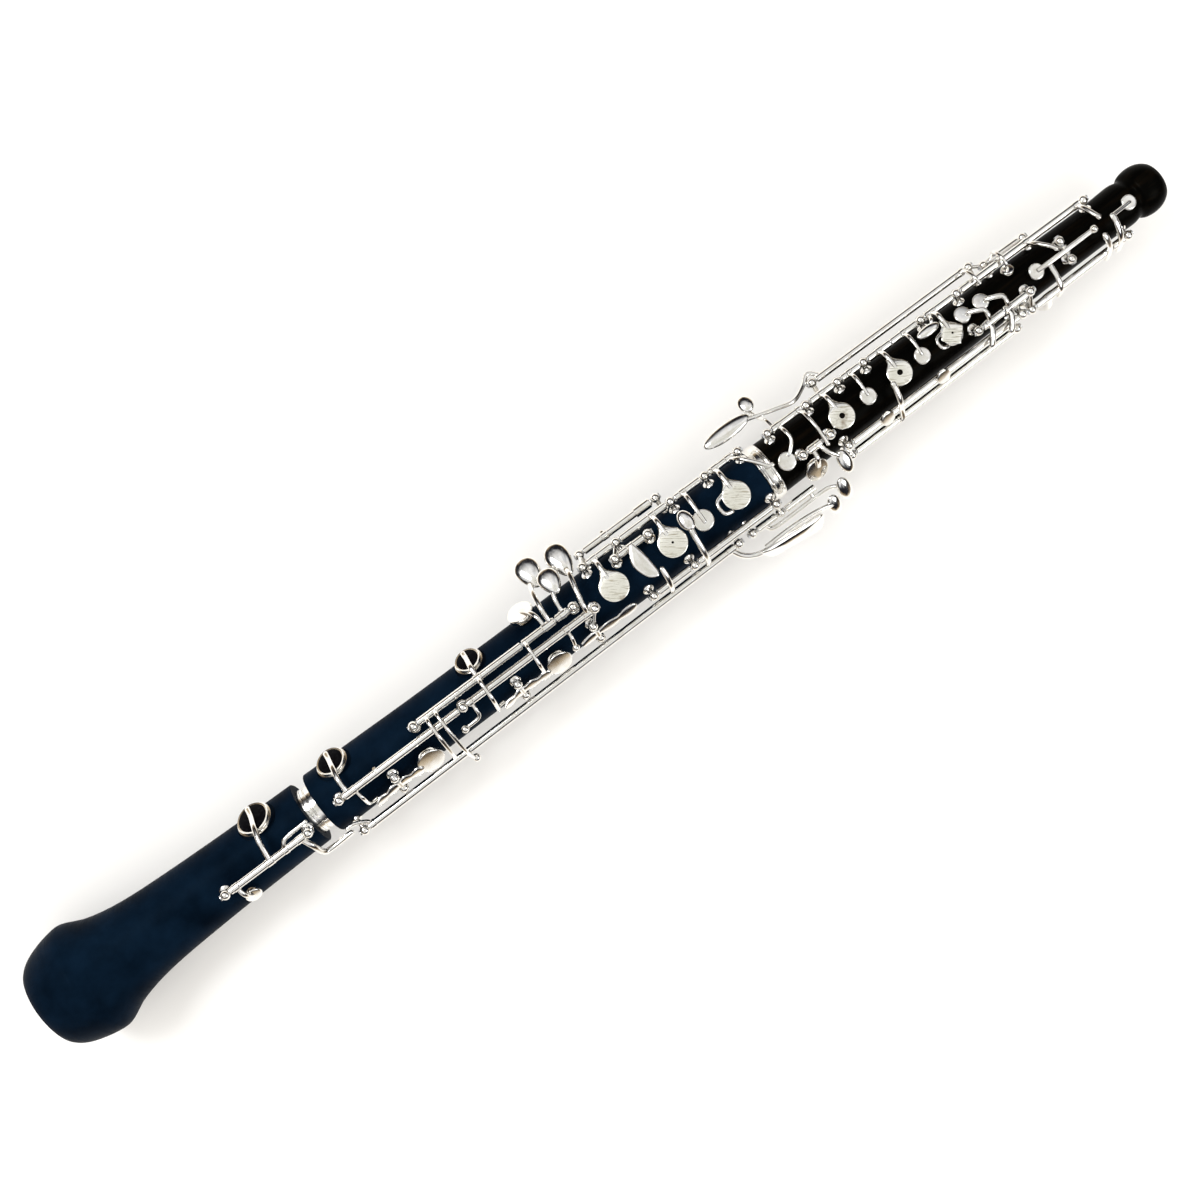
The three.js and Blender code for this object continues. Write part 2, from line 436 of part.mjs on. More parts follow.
const KEYS = {
  bell_key: key(tube('bell', 91.3, 128.1), {
    open: 5.5,
    closed: [
      fromTube('bell', 111.5, [
        [113, 10, 20.4], [114.2, 30, 19.2], [114.8, 52, 17.2], [114.8, 71, 18.2],
      ], 2.6),
      cup(114.8, 52, sunkSeat(114.8), 7.9, 2.8),
    ],
    resting: [
      fromTube('bell', 94.3, [[94.6, -26, 20.4], [95.4, -37, 19.4], [96.2, -43, 18.2]], 2.2),
      cup(96.3, -43, seat(96.3), 3.7, 2.6),
      fromTube('bell', 126.8, [
        [128.8, -28, 20.8], [129.8, -48, 20.4], [133.4, -54, 20.2], [144.6, -54, 19.8],
      ], 2.8),
      fromTube('bell', 119.5, [[120.5, -5, 21.4], [123.6, -1, 21.6], [134, 0, 21.6]], 1.8),
    ],
  }),
  low_b_key: key(tube('centre', 151.1, 209.7), {
    open: 6,
    closed: [
      fromTube('centre', 153.3, [
        [153.6, 15, 19.4], [154.2, 34, 18], [154.3, 52, 16.5], [154.3, 69, 17.3],
      ], 2.6),
      cup(154.3, 52, sunkSeat(154.3), 7.1, 2.8),
    ],
    resting: [
      fromTube('centre', 156.2, [
        [157, -18, 20], [157, -34, 18], [158, -41, 16.6], [161.4, -42, 16.2],
      ], 1.8),
      round([168.2, -4.5, 19.4], [168.2, 2, 21.6], 0.8),
    ],
  }),
  low_b_flat_key: key(tube('centre', 214.7, 278), {
    resting: [
      fromTube('centre', 216, [[216, -14, 19.6], [215, -27, 19.4], [208.4, -30, 19]], 1.8),
      ball([207.4, -30, 19], 1.8),
      fromTube('centre', 265.8, [[265.6, -16, 19.6], [264.8, -30, 18.8]], 1.8),
      ball([264.6, -33, 18.6], 1.7),
      fromTube('centre', 276.6, [
        [277.4, 8, 21.4], [279, 26, 22.4], [280.6, 44, 23], [281, 58, 22.6],
      ], 2.4),
      touch([281.2, 67.6, 24.6], 20, 16.5, 10.4, 0.3),
    ],
  }),
  low_c_key: key(tube('inner', 193.6, 246.9), {
    open: 6.5,
    closed: [
      fromTube('inner', 224.4, [
        [224.6, 30, 18.6], [224.9, 44, 16.6], [225, 54, 15.6], [225, 69, 16.3],
      ], 2.6),
      cup(225, 53, sunkSeat(225), 6.4, 2.8),
    ],
    resting: [
      arm([
        [197.6, 14.3, 19.6], [197.5, 4, 22.2], [197.4, -14, 22.9], [197, -40, 21.6],
        [196.6, -58, 21],
      ], 2),
      arm([
        [224.4, 14.3, 19.6], [224.4, 4, 22.2], [224.2, -14, 22.7], [223.4, -36, 19.4],
        [224, -42, 16.2], [227.4, -42, 15.6],
      ], 2),
      arm([
        [202, 14.3, 19.6], [202, 4, 22.2], [202, -14, 23], [202, -50, 23.2], [202.4, -78, 23.8],
      ], 1.8),
      ball([203, -81, 23.8], 1.9),
    ],
  }),
  d_sharp_key: key(tube('inner', 247.6, 264.2), {
    open: 6.5,
    closed: [
      fromTube('inner', 259.4, [
        [259, 30, 20], [257.6, 44, 19.2], [255.8, 56, 17.4], [254.8, 60, 16.4],
      ], 2.2),
      cup(254.6, 61, seat(254.6), 6.1, 3),
    ],
    resting: [
      arm([[248.8, 14.3, 19.6], [248.6, 4, 22.2], [248.2, -14, 22.4], [247.8, -32, 20.2]], 1.8),
      fromTube('inner', 262, [[262.6, 32, 22], [263.6, 52, 23.4], [265.4, 70, 24.4]], 2.4),
      touch([267.8, 77, 26.6], 20, 15, 10.8, 0.3),
    ],
  }),
  low_c_sharp_key: key(tube('inner', 264.9, 271.1), {
    resting: [
      fromTube('inner', 268.6, [[269.4, 30, 21.2], [271, 43, 22.8]], 2.2),
      touch([272.4, 51, 23.6], 20, 12.5, 9.2, 0.3),
    ],
  }),
  low_b_vent_key: key(hub('low_b_rocker'), {
    resting: [
      arm([
        [159.4, -42, 19.6], [163, -42, 18.6], [171.7, -42, 17.6], [178, -42, 18],
        [184, -42, 18.6],
      ], 3.2, 1.6),
      cup(188, -42, seat(188) + 1.4, 6.3, 2.6),
    ],
  }),
  low_c_vent_key: key(hub('low_c_rocker'), {
    resting: [
      arm([
        [225.8, -42, 19.2], [229, -42, 18.2], [235.8, -42, 17], [243, -42, 17.6],
        [250.6, -42, 18.2],
      ], 3.2, 1.6),
      cup(255.4, -42, seat(255.4) + 1.4, 6, 2.6),
    ],
  }),
  side_blade_key: key(hub('side_rocker'), {
    resting: [
      arm([
        [267.4, -40, 17.6], [275.6, -40, 17], [282, -40, 17.4], [288, -38, 18], [296, -36, 18.4],
      ], 3.4, 1.5),
    ],
  }),
  low_b_flat_lever: key(tube('long', 150, 344.5), {
    radius: 1.7,
    resting: [
      fromTube('long', 152, [[150.6, -62, 18.8], [146, -55, 17.2], [141.6, -54, 17.2]], 2),
      fromTube('long', 342.6, [[345.4, -72, 23.6], [350, -74, 26.6], [355, -73, 28]], 3),
      plate([366.8, -73.6, 29.4], -48, [[-15.5, 5.2], [-12, -2.6], [15, -8.2], [17.4, 0.8]]),
      arm([
        [355, -67, 27.4], [368, -65.5, 27.4], [378, -66, 28], [385, -67.5, 28.8],
        [390, -71.5, 30],
      ], 3.4, 2.4),
      touch([390.2, -73, 29.2], -34, 10.4, 6.4),
    ],
  }),
  d_key: key(tube('main_low', 289.5, 302.1), {
    open: -7,
    closed: [
      fromTube('main_low', 293, [[292.8, 38, 18.8], [292.5, 20, 17.2], [292.5, 6, 16]], 2.4),
      cup(292.5, 0.7, seat(292.5), 6.45, 3.2),
    ],
  }),
  e_key: key(tube('main_low', 307.1, 330.9), {
    open: -7,
    closed: [
      fromTube('main_low', 323.6, [[323.4, 38, 18.8], [323.2, 20, 17.2], [323.2, 6, 16]], 2.4),
      cup(323.2, 0.7, seat(323.2), 6.45, 3.2),
    ],
  }),
  f_vent_key: key(tube('main_low', 335.9, 349.1), {
    open: -7,
    closed: [
      fromTube('main_low', 340, [[339.8, 38, 18.6], [339.4, 16, 17], [339.3, -6, 16]], 2.2),
      cup(339.3, 0, seat(339.3), 4.7, 2.6),
    ],
  }),
  f_sharp_key: key(tube('main_low', 354.1, 366.5), {
    open: -7,
    closed: [
      fromTube('main_low', 357, [[356.8, 38, 18.6], [356.6, 20, 17.2], [356.6, 6, 16]], 2.4),
      cup(356.6, 0.5, seat(356.6), 6.2, 3.2),
      arm([
        [352, 13, 16.4], [348.4, 8, 17], [347.4, -2, 17.2], [348.4, -12, 17], [352, -16, 16.2],
      ], 1.8),
    ],
    resting: [
      fromTube('main_low', 364, [[367.4, 38, 19.6], [372, 20, 19.2], [375, 8, 19], [377.4, 7, 19]], 2),
    ],
  }),
  f_key: key(tube('leaf', 302.3, 314.7), {
    resting: [
      fromTube('leaf', 308.2, [[308.2, 22, 19.4], [308.2, 8, 19.6]], 2.4),
      plate([307.8, 8, 19.6], 8, LEAF),
    ],
  }),
  e_flat_trill_key: key(tube('outer_low', 291.9, 327.5), {
    resting: [
      round([319, 78, 20], [326.8, 78, 20], 2.3),
      fromTube('outer_low', 303, [[303, 84, 22.4]], 2.4),
    ],
  }),
  left_f_key: key(tube('left_low', 306.5, 323.1), {
    resting: [
      arm([[312, -58, 18.8], [312.2, -44.5, 19.8], [312.8, -28, 19.6], [313, -12, 19.4]], 2.6),
    ],
  }),
  forked_f_key: key(tube('left_low', 328.1, 366.5), {
    resting: [
      arm([
        [331.2, -57, 18.8], [331.4, -44.5, 19.8], [331.6, -28, 20], [332, -6, 20.2],
        [332.8, 6, 20],
      ], 2.8),
      touch([333, 15, 19.6], 14, 9.6, 6.6),
    ],
  }),
  left_e_flat_lever: key(tube('lever', 357.1, 367.1), {
    resting: [
      arm([
        [361, -71, 19.4], [364, -75, 22], [378, -75, 22.2], [391, -74, 22.2], [395.6, -72, 24],
        [397.6, -71, 26.6],
      ], 2.4),
      round([372.4, -70, 18.8], [388, -70, 18.8], 1.6),
      arm([[385, -70, 19], [385, -74, 22.2]], 2.4),
      touch([397.8, -72, 26.4], -32, 12, 6.6),
    ],
  }),
  c_sharp_trill_key: key(tube('main_high', 386.5, 402.1), {
    resting: [
      fromTube('main_high', 389.6, [
        [390, 36, 17.6], [389.8, 20, 17.2], [387, 9, 16.6], [384.4, 2, 15.8],
      ], 1.8),
      cup(383.1, -3, seat(383.1), 4.9, 2.6),
      fromTube('main_high', 400.7, [[400.7, 34, 19.4], [400.7, 10, 20], [400.7, -17, 19.8]], 1.8),
      fromTube('main_high', 387.8, [
        [387.6, 68, 19.2], [386.8, 82, 20.4], [385.4, 89, 25], [384.8, 87, 30.4],
      ], 1.8),
      touch([385.2, 84, 28.6], 25, 8.4, 7),
    ],
  }),
  a_key: key(tube('main_high', 407.1, 418.9), {
    open: -8,
    closed: [
      fromTube('main_high', 412.9, [[412.9, 36, 17], [412.9, 18, 15.6], [412.9, 6, 14.6]], 2.2),
      ventedCup(412.9, 5.6),
    ],
  }),
  first_vent_key: key(tube('main_high', 423.9, 433.1), {
    open: -8,
    closed: [
      fromTube('main_high', 427.9, [[427.8, 36, 17], [427.4, 14, 15.6], [427.3, 0, 14.6]], 1.8),
      cup(427.3, 0, seat(427.3), 3.75, 2.4),
    ],
  }),
  g_key: key(tube('main_high', 438.1, 449.9), {
    open: -8,
    closed: [
      fromTube('main_high', 444, [[444, 36, 16.8], [444, 18, 15.4], [444, 6, 14.2]], 2.2),
      ventedCup(444, 5.5),
    ],
  }),
  second_vent_key: key(tube('main_high', 450.5, 464.1), {
    open: -8,
    closed: [
      fromTube('main_high', 457, [[456.9, 36, 16.6], [456.6, 14, 15], [456.5, 0, 13.8]], 1.8),
      cup(456.5, 0, seat(456.5), 3.7, 2.4),
    ],
  }),
  half_hole_key: key(tube('main_high', 469.1, 483.5), {
    open: -8,
    closed: [
      fromTube('main_high', 472.8, [[472.6, 36, 16.6], [472.4, 18, 15], [472.4, 6, 13.8]], 2.2),
      cup(472.4, 0, seat(472.4), 5, 3),
      arm([
        [468.4, 11, 14.4], [465.4, 7, 15], [464.4, -2, 15.2], [465.4, -11, 15],
        [468.4, -14, 14.2],
      ], 1.6),
    ],
    resting: [
      fromTube('main_high', 470.4, [[469, 38, 18], [467.6, 30, 17.6]], 1.8),
      touch([464.6, 27, 16.8], 20, 4.6, 11, 0, 1.2),
    ],
  }),
  second_octave_lever: key(tube('main_high', 488.5, 553), {
    resting: [
      fromTube('main_high', 523.7, [[525, 38, 16.8], [528, 20, 17.8], [530, 8, 18.2]], 2),
      fromTube('main_high', 551.6, [[551.8, 38, 16], [552.6, 18, 16.6], [553.6, 7, 16.8]], 2.4),
    ],
  }),
  d_trill_key: key(tube('outer_high', 416.5, 496.5), {
    resting: [
      fromTube('outer_high', 495, [[495, 64, 20.4], [495.4, 48, 19.2], [495.6, 36, 17]], 1.8),
      arm([
        [418.8, 80, 19.9], [415, 84, 23.2], [410, 80, 20.4], [402, 68, 19], [394, 70, 20.8],
        [387, 74.5, 22.4], [380, 77.5, 24.2],
      ], 2.4),
      touch([371.4, 79, 24.4], 20, 7.6, 24),
    ],
  }),
  side_octave_key: key(tube('side_octave', 507.5, 523.5), {
    resting: [
      arm([[510, 76, 16.6], [510, 64, 19.6], [510, 50, 19.2], [510, 40, 17], [510, 37, 13.2]], 1.8),
      cup(510, 38, seat(510) + 1, 2.9, 1.6),
    ],
  }),
  g_sharp_key: key(tube('g_sharp', 392.3, 399.1), {
    open: -8,
    closed: [
      fromTube('g_sharp', 394.4, [[394, -24, 17.6], [393, -42, 16]], 2.4),
      cup(392.3, -47, seat(392.3), 5.6, 2.6),
      fromTube('g_sharp', 397.6, [[399, -24, 18.8], [402, -38, 19], [403.4, -48, 18.8]], 2.2),
      touch([403.4, -51, 19.2], -28, 11.5, 6.4),
    ],
  }),
  left_trill_lever: key(tube('left_high', 411.7, 501.5), {
    resting: [
      arm([
        [436.4, -58, 18.4], [436.8, -44, 17.6], [437.2, -28, 18.6], [437.8, -10, 19],
        [438.4, 0, 18.9],
      ], 3),
      cup(429.4, -42, 17.4, 3.6, 1.4),
      cup(459.6, -42, 17.2, 3.6, 1.4),
    ],
  }),
  left_outer_lever: key(tube('left_outer', 411.7, 497.5), {
    resting: [
      fromTube('left_outer', 435.6, [[435.6, -60, 19.6]], 2.2),
    ],
  }),
  c_trill_key: key(tube('trill', 485.1, 496), {
    resting: [
      fromTube('trill', 489.2, [
        [489.2, -6, 17.2], [489, 3, 16.8], [486.4, 9, 15.8], [483, 16, 14.2],
      ], 2.4),
      cup(481.9, 18.5, seat(481.9), 3.7, 2.4),
      fromTube('trill', 488.4, [[487.6, -28, 18.2], [485, -38, 19.8], [483.4, -46, 20.6]], 2.6),
    ],
  }),
  b_trill_key: key(tube('trill', 496.6, 508.5), {
    resting: [
      fromTube('trill', 499.2, [
        [499.2, -6, 17], [499, 3, 16.6], [496.2, 9, 15.6], [492.8, 16, 14],
      ], 2.4),
      cup(491.7, 18, seat(491.7), 3.7, 2.4),
      fromTube('trill', 498.6, [[498, -28, 18.2], [495.6, -38, 19.8], [494, -46, 20.6]], 2.6),
    ],
  }),
  thumb_octave_key: key(tube('octave', 511.9, 553.8), {
    resting: [
      arm([
        [524.6, -70, 15.8], [525, -54, 16.2], [525.4, -36, 14.6], [525.8, -20, 12.6],
        [525.8, -4, 12.3],
      ], 2.8, 2),
      arm([
        [551.2, -70, 15.6], [551.4, -55, 15.9], [551.6, -40, 16.8], [551, -22, 17.6],
        [550.4, -12, 17.6],
      ], 2.8, 2),
      fromTube('octave', 519, [
        [519, -80, 16.4], [519, -110, 16], [519, -140, 16], [519, -172, 16.2],
      ], 3),
      touch([519, 180, 15.4], 180, 10, 15, 0, 1.6),
    ],
  }),
  second_octave_key: key(tube('octave', 554.5, 560.7), {
    resting: [
      arm([
        [557.6, -70, 15.4], [557.9, -54, 15.6], [558.4, -36, 16], [558.6, -12, 16.2],
        [559, 4, 15.8],
      ], 3, 2.2),
      arm([[558.4, 0, 15.8], [564, 0, 14.6], [570.4, 0, 13.4]], 2),
      cup(569.8, 0, seat(569.8), 3.4, 2.4),
    ],
  }),
  first_octave_key: key(hub('octave_rocker'), {
    resting: [
      arm([
        [519.6, 0, 13.4], [525, 0, 14.8], [534.4, 0, 15.4], [542, 0, 15], [548.6, 0, 14.6],
      ], 2.4, 1.8),
      cup(519.1, 0, seat(519.1), 3.6, 2.4),
      ball([549.4, 0, 14.6], 1.7),
    ],
  }),
};

// ---- the nodes ----
const group = new THREE.Group();

function add(name, shape, finish) {
  const mesh = shape.getMesh();
  const geometry = new THREE.BufferGeometry();
  geometry.setAttribute('position', new THREE.BufferAttribute(mesh.vertProperties, 3));
  geometry.setIndex(new THREE.BufferAttribute(mesh.triVerts, 1));
  geometry.computeVertexNormals();
  const node = new THREE.Mesh(geometry, new THREE.MeshStandardMaterial(finish));
  node.name = name;
  group.add(node);
}

add('bell', bell(), RESIN);
add('lower_joint', lowerJoint(), RESIN);
add('upper_joint', upperJoint(), WOOD);
add('bell_tenon_sleeve', sleeve(), SILVER);
add('bell_tenon_cork', ring(120.6, 130.8, 9.6, 10.6), CORK);
add('middle_ring', middleRing(), SILVER);
add('middle_tenon_cork', ring(359.4, 370.4, 7.9, 9.1), CORK);
add('reed_well_liner', reedWell(), SILVER);
add('thumb_rest_plate', thumbPlate(), SILVER);
add('thumb_rest_hook', thumbHook(), SILVER);

for (const [name, shape] of Object.entries(postSets())) {
  add(`${name}_posts`, shape, STEEL);
}
for (const [name, shape] of Object.entries(KEYS)) {
  add(name, shape, SILVER);
}

export default group;
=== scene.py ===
"""The looks of a full-system oboe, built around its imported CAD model.

The oboe lies on its back along X, its tone holes up and its bell at -X. Places
on it are polar, as (station, angle, rho) in millimetres and degrees: a station
measured from the bell's mouth, an angle from the top towards +Y, and a
distance from the centre line. Meshes are written in metres.
"""
import math

import bmesh
import bpy
from mathutils import Matrix, Vector


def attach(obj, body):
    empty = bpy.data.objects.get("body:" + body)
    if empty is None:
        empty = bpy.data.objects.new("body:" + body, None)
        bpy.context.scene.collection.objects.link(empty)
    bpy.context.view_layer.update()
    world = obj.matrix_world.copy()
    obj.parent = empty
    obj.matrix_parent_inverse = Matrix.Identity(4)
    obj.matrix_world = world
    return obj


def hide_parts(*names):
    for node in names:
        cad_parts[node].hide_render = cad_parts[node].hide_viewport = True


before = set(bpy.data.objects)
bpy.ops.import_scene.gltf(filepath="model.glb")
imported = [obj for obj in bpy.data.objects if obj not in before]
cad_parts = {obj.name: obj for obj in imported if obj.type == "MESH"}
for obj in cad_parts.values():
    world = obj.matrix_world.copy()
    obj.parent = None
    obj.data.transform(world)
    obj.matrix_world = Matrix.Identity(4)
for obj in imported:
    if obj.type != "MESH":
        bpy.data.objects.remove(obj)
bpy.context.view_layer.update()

# ---- driving dimensions, in millimetres ----
LENGTH = 591
BELL_RADIUS = 25.7
BELL_END = 133
LOWER_START = 139.5
LOWER_END = 371.5
RING_END = 377.8
WELL_DEPTH = 16
WELL_RADIUS = 4.4
SOCKET = 15
TENON = 20
SUNK_DEPTH = 1.5
GAP = 0.3
CHIMNEY = 0.4
ROD_RADIUS = 0.85
TUBE_RADIUS = 1.65
BALL_RADIUS = 2.2
PAD_SHARE = 0.4
MM = 0.001

# Forged arms fill this share of their width, to each side of the middle.
ARM_HALF = 0.44

# ---- how finely things are drawn ----
BODY_SIDES = 144
ROUND_SIDES = 40
TUBE_SIDES = 24
ARM_SIDES = 16
ARM_STEP = 0.6
SHARP = math.radians(38)

# Outside radius of the wooden bodies, as (station, radius).
BODY_PROFILE = [
    (0, 19.2), (2, 20.9), (5, 22.5), (9, 23.9), (14, 25.1), (19, BELL_RADIUS),
    (22, 25.1), (26, 23.2), (31, 21.1), (40, 18.9), (52, 17.3), (70, 16.2),
    (93, 15.3), (112, 14.8), (BELL_END, 14.4),
    (LOWER_START, 14.4), (165, 14.0), (200, 13.4), (250, 13.2),
    (LOWER_END, 12.9), (RING_END, 12.9), (RING_END + GAP, 12.5), (420, 11.7),
    (480, 10.7), (540, 9.8), (560, 9.7), (572, 10.1), (576.5, 9.2),
    (579, 10.9), (583, 11.6), (587, 11.0), (590, 9.3), (LENGTH, 7.6),
]


# ---- places ----
def at(place):
    """A polar place as a point in millimetres."""
    station, angle, rho = place
    turn = math.radians(angle)
    return Vector((
        station - LENGTH / 2, rho * math.sin(turn), BELL_RADIUS + rho * math.cos(turn)))


def polar(point):
    y, z = point.y, point.z - BELL_RADIUS
    return point.x + LENGTH / 2, math.degrees(math.atan2(y, z)), math.hypot(y, z)


def outward(point):
    """The direction away from the centre line."""
    return Vector((0, point.y, point.z - BELL_RADIUS)).normalized()


def frame_at(place, facing=None):
    """X along the oboe, Y round it and Z facing the given angle."""
    turn = math.radians(place[1] if facing is None else facing)
    across = Vector((0, math.cos(turn), -math.sin(turn)))
    out = Vector((0, math.sin(turn), math.cos(turn)))
    rows = Matrix((Vector((1, 0, 0)), across, out)).transposed()
    return Matrix.Translation(at(place)) @ rows.to_4x4()


def axis_frame(point, direction):
    """Z along a direction, for turned things that lie on it."""
    turn = Vector((0, 0, 1)).rotation_difference(direction)
    return Matrix.Translation(point) @ turn.to_matrix().to_4x4()


def body_radius(station):
    for (s0, r0), (s1, r1) in zip(BODY_PROFILE, BODY_PROFILE[1:]):
        if s0 <= station <= s1:
            return r0 + (r1 - r0) * (station - s0) / (s1 - s0)


def seat(station):
    return body_radius(station) + CHIMNEY + GAP


def sunk_seat(station):
    return body_radius(station) - SUNK_DEPTH + GAP


# ---- skins: each is (finish, points, faces) ----
def skin(finish, rings, loop=False):
    """A skin over rings of points. Its ends are closed, or joined as a loop."""
    n = len(rings[0])
    points = [point for ring in rings for point in ring]
    faces = []
    for k in range(len(rings) if loop else len(rings) - 1):
        a, b = k * n, (k + 1) % len(rings) * n
        for i in range(n):
            j = (i + 1) % n
            faces.append((a + i, a + j, b + j, b + i))
    if not loop:
        faces.append(tuple(range(n)))
        faces.append(tuple(range(len(points) - n, len(points))))
    return finish, points, faces


def bend(start, elbow, end, steps):
    """A curve from start to end that is drawn towards the elbow."""
    shares = [k / steps for k in range(steps + 1)]
    return [start * (1 - t) ** 2 + elbow * 2 * t * (1 - t) + end * t * t for t in shares]


def soften(points, reach, closed=False, steps=4):
    """The outline with each corner replaced by a small curve."""
    done = []
    count = len(points)
    for i, corner in enumerate(points):
        if not closed and i in (0, count - 1):
            done.append(Vector(corner))
            continue
        here = Vector(corner)
        before = Vector(points[i - 1]) - here
        after = Vector(points[(i + 1) % count]) - here
        start = here + before * min(0.45, reach / before.length)
        end = here + after * min(0.45, reach / after.length)
        done += bend(start, here, end, steps)
    return done


def spline(points, steps):
    """A smooth curve through the points."""
    points = [Vector(p) for p in points]
    ends = [points[0] * 2 - points[1], *points, points[-1] * 2 - points[-2]]
    done = []
    for a, b, c, d in zip(ends, ends[1:], ends[2:], ends[3:]):
        for k in range(steps):
            t = k / steps
            done.append(0.5 * (
                b * 2 + (c - a) * t + (a * 2 - b * 5 + c * 4 - d) * t * t
                + (b * 3 - a - c * 3 + d) * t ** 3))
    done.append(points[-1])
    return done


def circle(sides):
    return [i * math.tau / sides for i in range(sides)]


def turned(finish, profile, matrix, sides=ROUND_SIDES, loop=False):
    """A body of revolution about the matrix's Z, from (height, radius) pairs."""
    turns = circle(sides)
    rings = []
    for height, radius in profile:
        r = max(radius, 0.01)
        rings.append([
            matrix @ Vector((r * math.cos(t), r * math.sin(t), height)) for t in turns])
    return skin(finish, rings, loop)


def turned_body(finish, profile):
    """A body of revolution about the oboe's centre line, from (station, radius)."""
    place = axis_frame(at((0, 0, 0)), Vector((1, 0, 0)))
    return turned(finish, profile, place, BODY_SIDES, loop=True)


def bar(start, end, radius, finish="silver", sides=TUBE_SIDES, edge=0.15):
    """A round bar between two places or points, with eased ends."""
    a = start if isinstance(start, Vector) else at(start)
    b = end if isinstance(end, Vector) else at(end)
    length = (b - a).length
    end = radius - edge
    profile = [(0, end), (edge, radius), (length - edge, radius), (length, end)]
    return turned(finish, profile, axis_frame(a, b - a), sides)


def ball(place, radius):
    steps = 12
    profile = []
    for k in range(steps + 1):
        turn = math.pi * k / steps
        profile.append((-radius * math.cos(turn), radius * math.sin(turn)))
    return turned("silver", profile, frame_at(place), TUBE_SIDES)


def squared(share):
    return math.copysign(abs(share) ** 0.75, share)


OVAL = [(squared(math.cos(turn)), squared(math.sin(turn))) for turn in circle(ARM_SIDES)]


def arm(places, width, thick=None, fan=None, wave=None):
    """A forged arm through the places: oval and round-ended. It widens to `fan`
    at its end, and `wave` gives its edges (scallops, extra width)."""
    thick = thick or width
    fan = fan or width
    path = spline([at(place) for place in places], 16)
    lengths = [0]
    for p, q in zip(path, path[1:]):
        lengths.append(lengths[-1] + (q - p).length)
    total = lengths[-1]
    count = max(int(total / ARM_STEP), 6)
    rings = []
    side = Vector((1, 0, 0))
    for k in range(count + 1):
        run = total * (1 - (1 - k / count) ** 1.15)
        n = next(i for i in range(1, len(path)) if lengths[i] >= run - 1e-6)
        span = lengths[n] - lengths[n - 1]
        here = path[n - 1].lerp(path[n], (run - lengths[n - 1]) / max(span, 1e-6))
        ahead = (path[n] - path[n - 1]).normalized()
        across = ahead.cross(outward(here))
        if across.length > 0.5:
            if across.dot(side) < 0:
                across = -across
            side = side.lerp(across.normalized(), 0.5)
        side = (side - ahead * side.dot(ahead)).normalized()
        up = side.cross(ahead)
        share = run / total
        half = (width + (fan - width) * share ** 2.2) * ARM_HALF
        if wave:
            half *= 1 + wave[1] * abs(math.sin(math.pi * wave[0] * share))
        depth = thick * ARM_HALF * (1 - 0.15 * share)
        left = total - run
        if left < half:
            round_off = math.sqrt(max(1 - (1 - left / half) ** 2, 0.0004))
            half *= round_off
            depth *= 0.35 + 0.65 * round_off
        rings.append([here + side * (x * half) + up * (y * depth) for x, y in OVAL])
    return skin("silver", rings)


def domed(finish, outline, matrix, thick, crown):
    """A plate with the outline, a rounded edge and a crowned top."""
    centre = sum(outline, Vector((0, 0))) / len(outline)
    rim = thick * 0.35
    levels = [(0.0, rim), (0.12, rim * 0.6), (rim, 0), (thick - rim, 0)]
    rings = []
    for height, inset in levels:
        rings.append([(p - (p - centre).normalized() * inset, height) for p in outline])
    for k in range(1, 8):
        share = math.cos(k * math.pi / 2 / 8)
        rise = thick - rim + (rim + crown) * math.sin(k * math.pi / 2 / 8)
        rings.append([(centre + (p - centre) * share, rise) for p in outline])
    places = [[matrix @ Vector((p.x, p.y, h)) for p, h in ring] for ring in rings]
    return skin(finish, places)


def touch(place, facing, length, width, taper=0, thick=1.4):
    """A finger touch: an oval that narrows by `taper` towards its root."""
    crown = 0.16 * min(length, width)
    outline = []
    for turn in circle(ROUND_SIDES):
        x = math.sin(turn) * (1 + taper * math.cos(turn)) * width / 2
        outline.append(Vector((x, math.cos(turn) * length / 2)))
    return [domed("silver", outline, frame_at(place, facing), thick, crown)]


def plate(place, facing, corners, thick=1.4, reach=2.4, crown=0.25, finish="silver"):
    """A flat plate from its corners, given as (along, across) from a place."""
    outline = soften([Vector(c) for c in corners], reach, closed=True, steps=6)
    return [domed(finish, outline, frame_at(place, facing), thick, crown)]


def lid(place, radius, reach, vent):
    """The teardrop top of a finger plate: a disc that narrows to a neck at its
    reach, bent down to meet its arm. `vent` is the radius of a dark disc of
    painted shade that stands in for its hole."""
    neck, droop = 2.6, 0.9
    leave = math.radians(40)
    start = Vector((radius * math.sin(leave), radius * math.cos(leave)))
    run = (start.x - neck / 2) / math.cos(leave)
    elbow = Vector((neck / 2, start.y + run * math.sin(leave)))
    tip = Vector((neck / 2, reach))
    side = bend(tip, elbow, start, 8)[:-1]
    round_part = 48
    outline = list(side)
    for k in range(round_part + 1):
        turn = leave + (math.tau - 2 * leave) * k / round_part
        outline.append(Vector((radius * math.sin(turn), radius * math.cos(turn))))
    outline += [Vector((-p.x, p.y)) for p in reversed(side)]
    thick, crown = 0.8, 0.12
    finish, points, faces = domed("brushed", outline, Matrix.Identity(4), thick, crown)
    matrix = frame_at(place)
    bent = []
    for p in points:
        over = max(p.y - radius * 0.4, 0) / (reach - radius * 0.4)
        bent.append(matrix @ Vector((p.x, p.y, p.z - droop * over ** 2)))
    parts = [(finish, bent, faces)]
    # Painted shade: a flat dark disc on the plate's top stands in for the vent hole.
    if vent:
        top = thick + crown + 0.02
        parts.append(turned("shadow", [(0, vent), (top, vent), (top, 0)], matrix, TUBE_SIDES))
    return parts


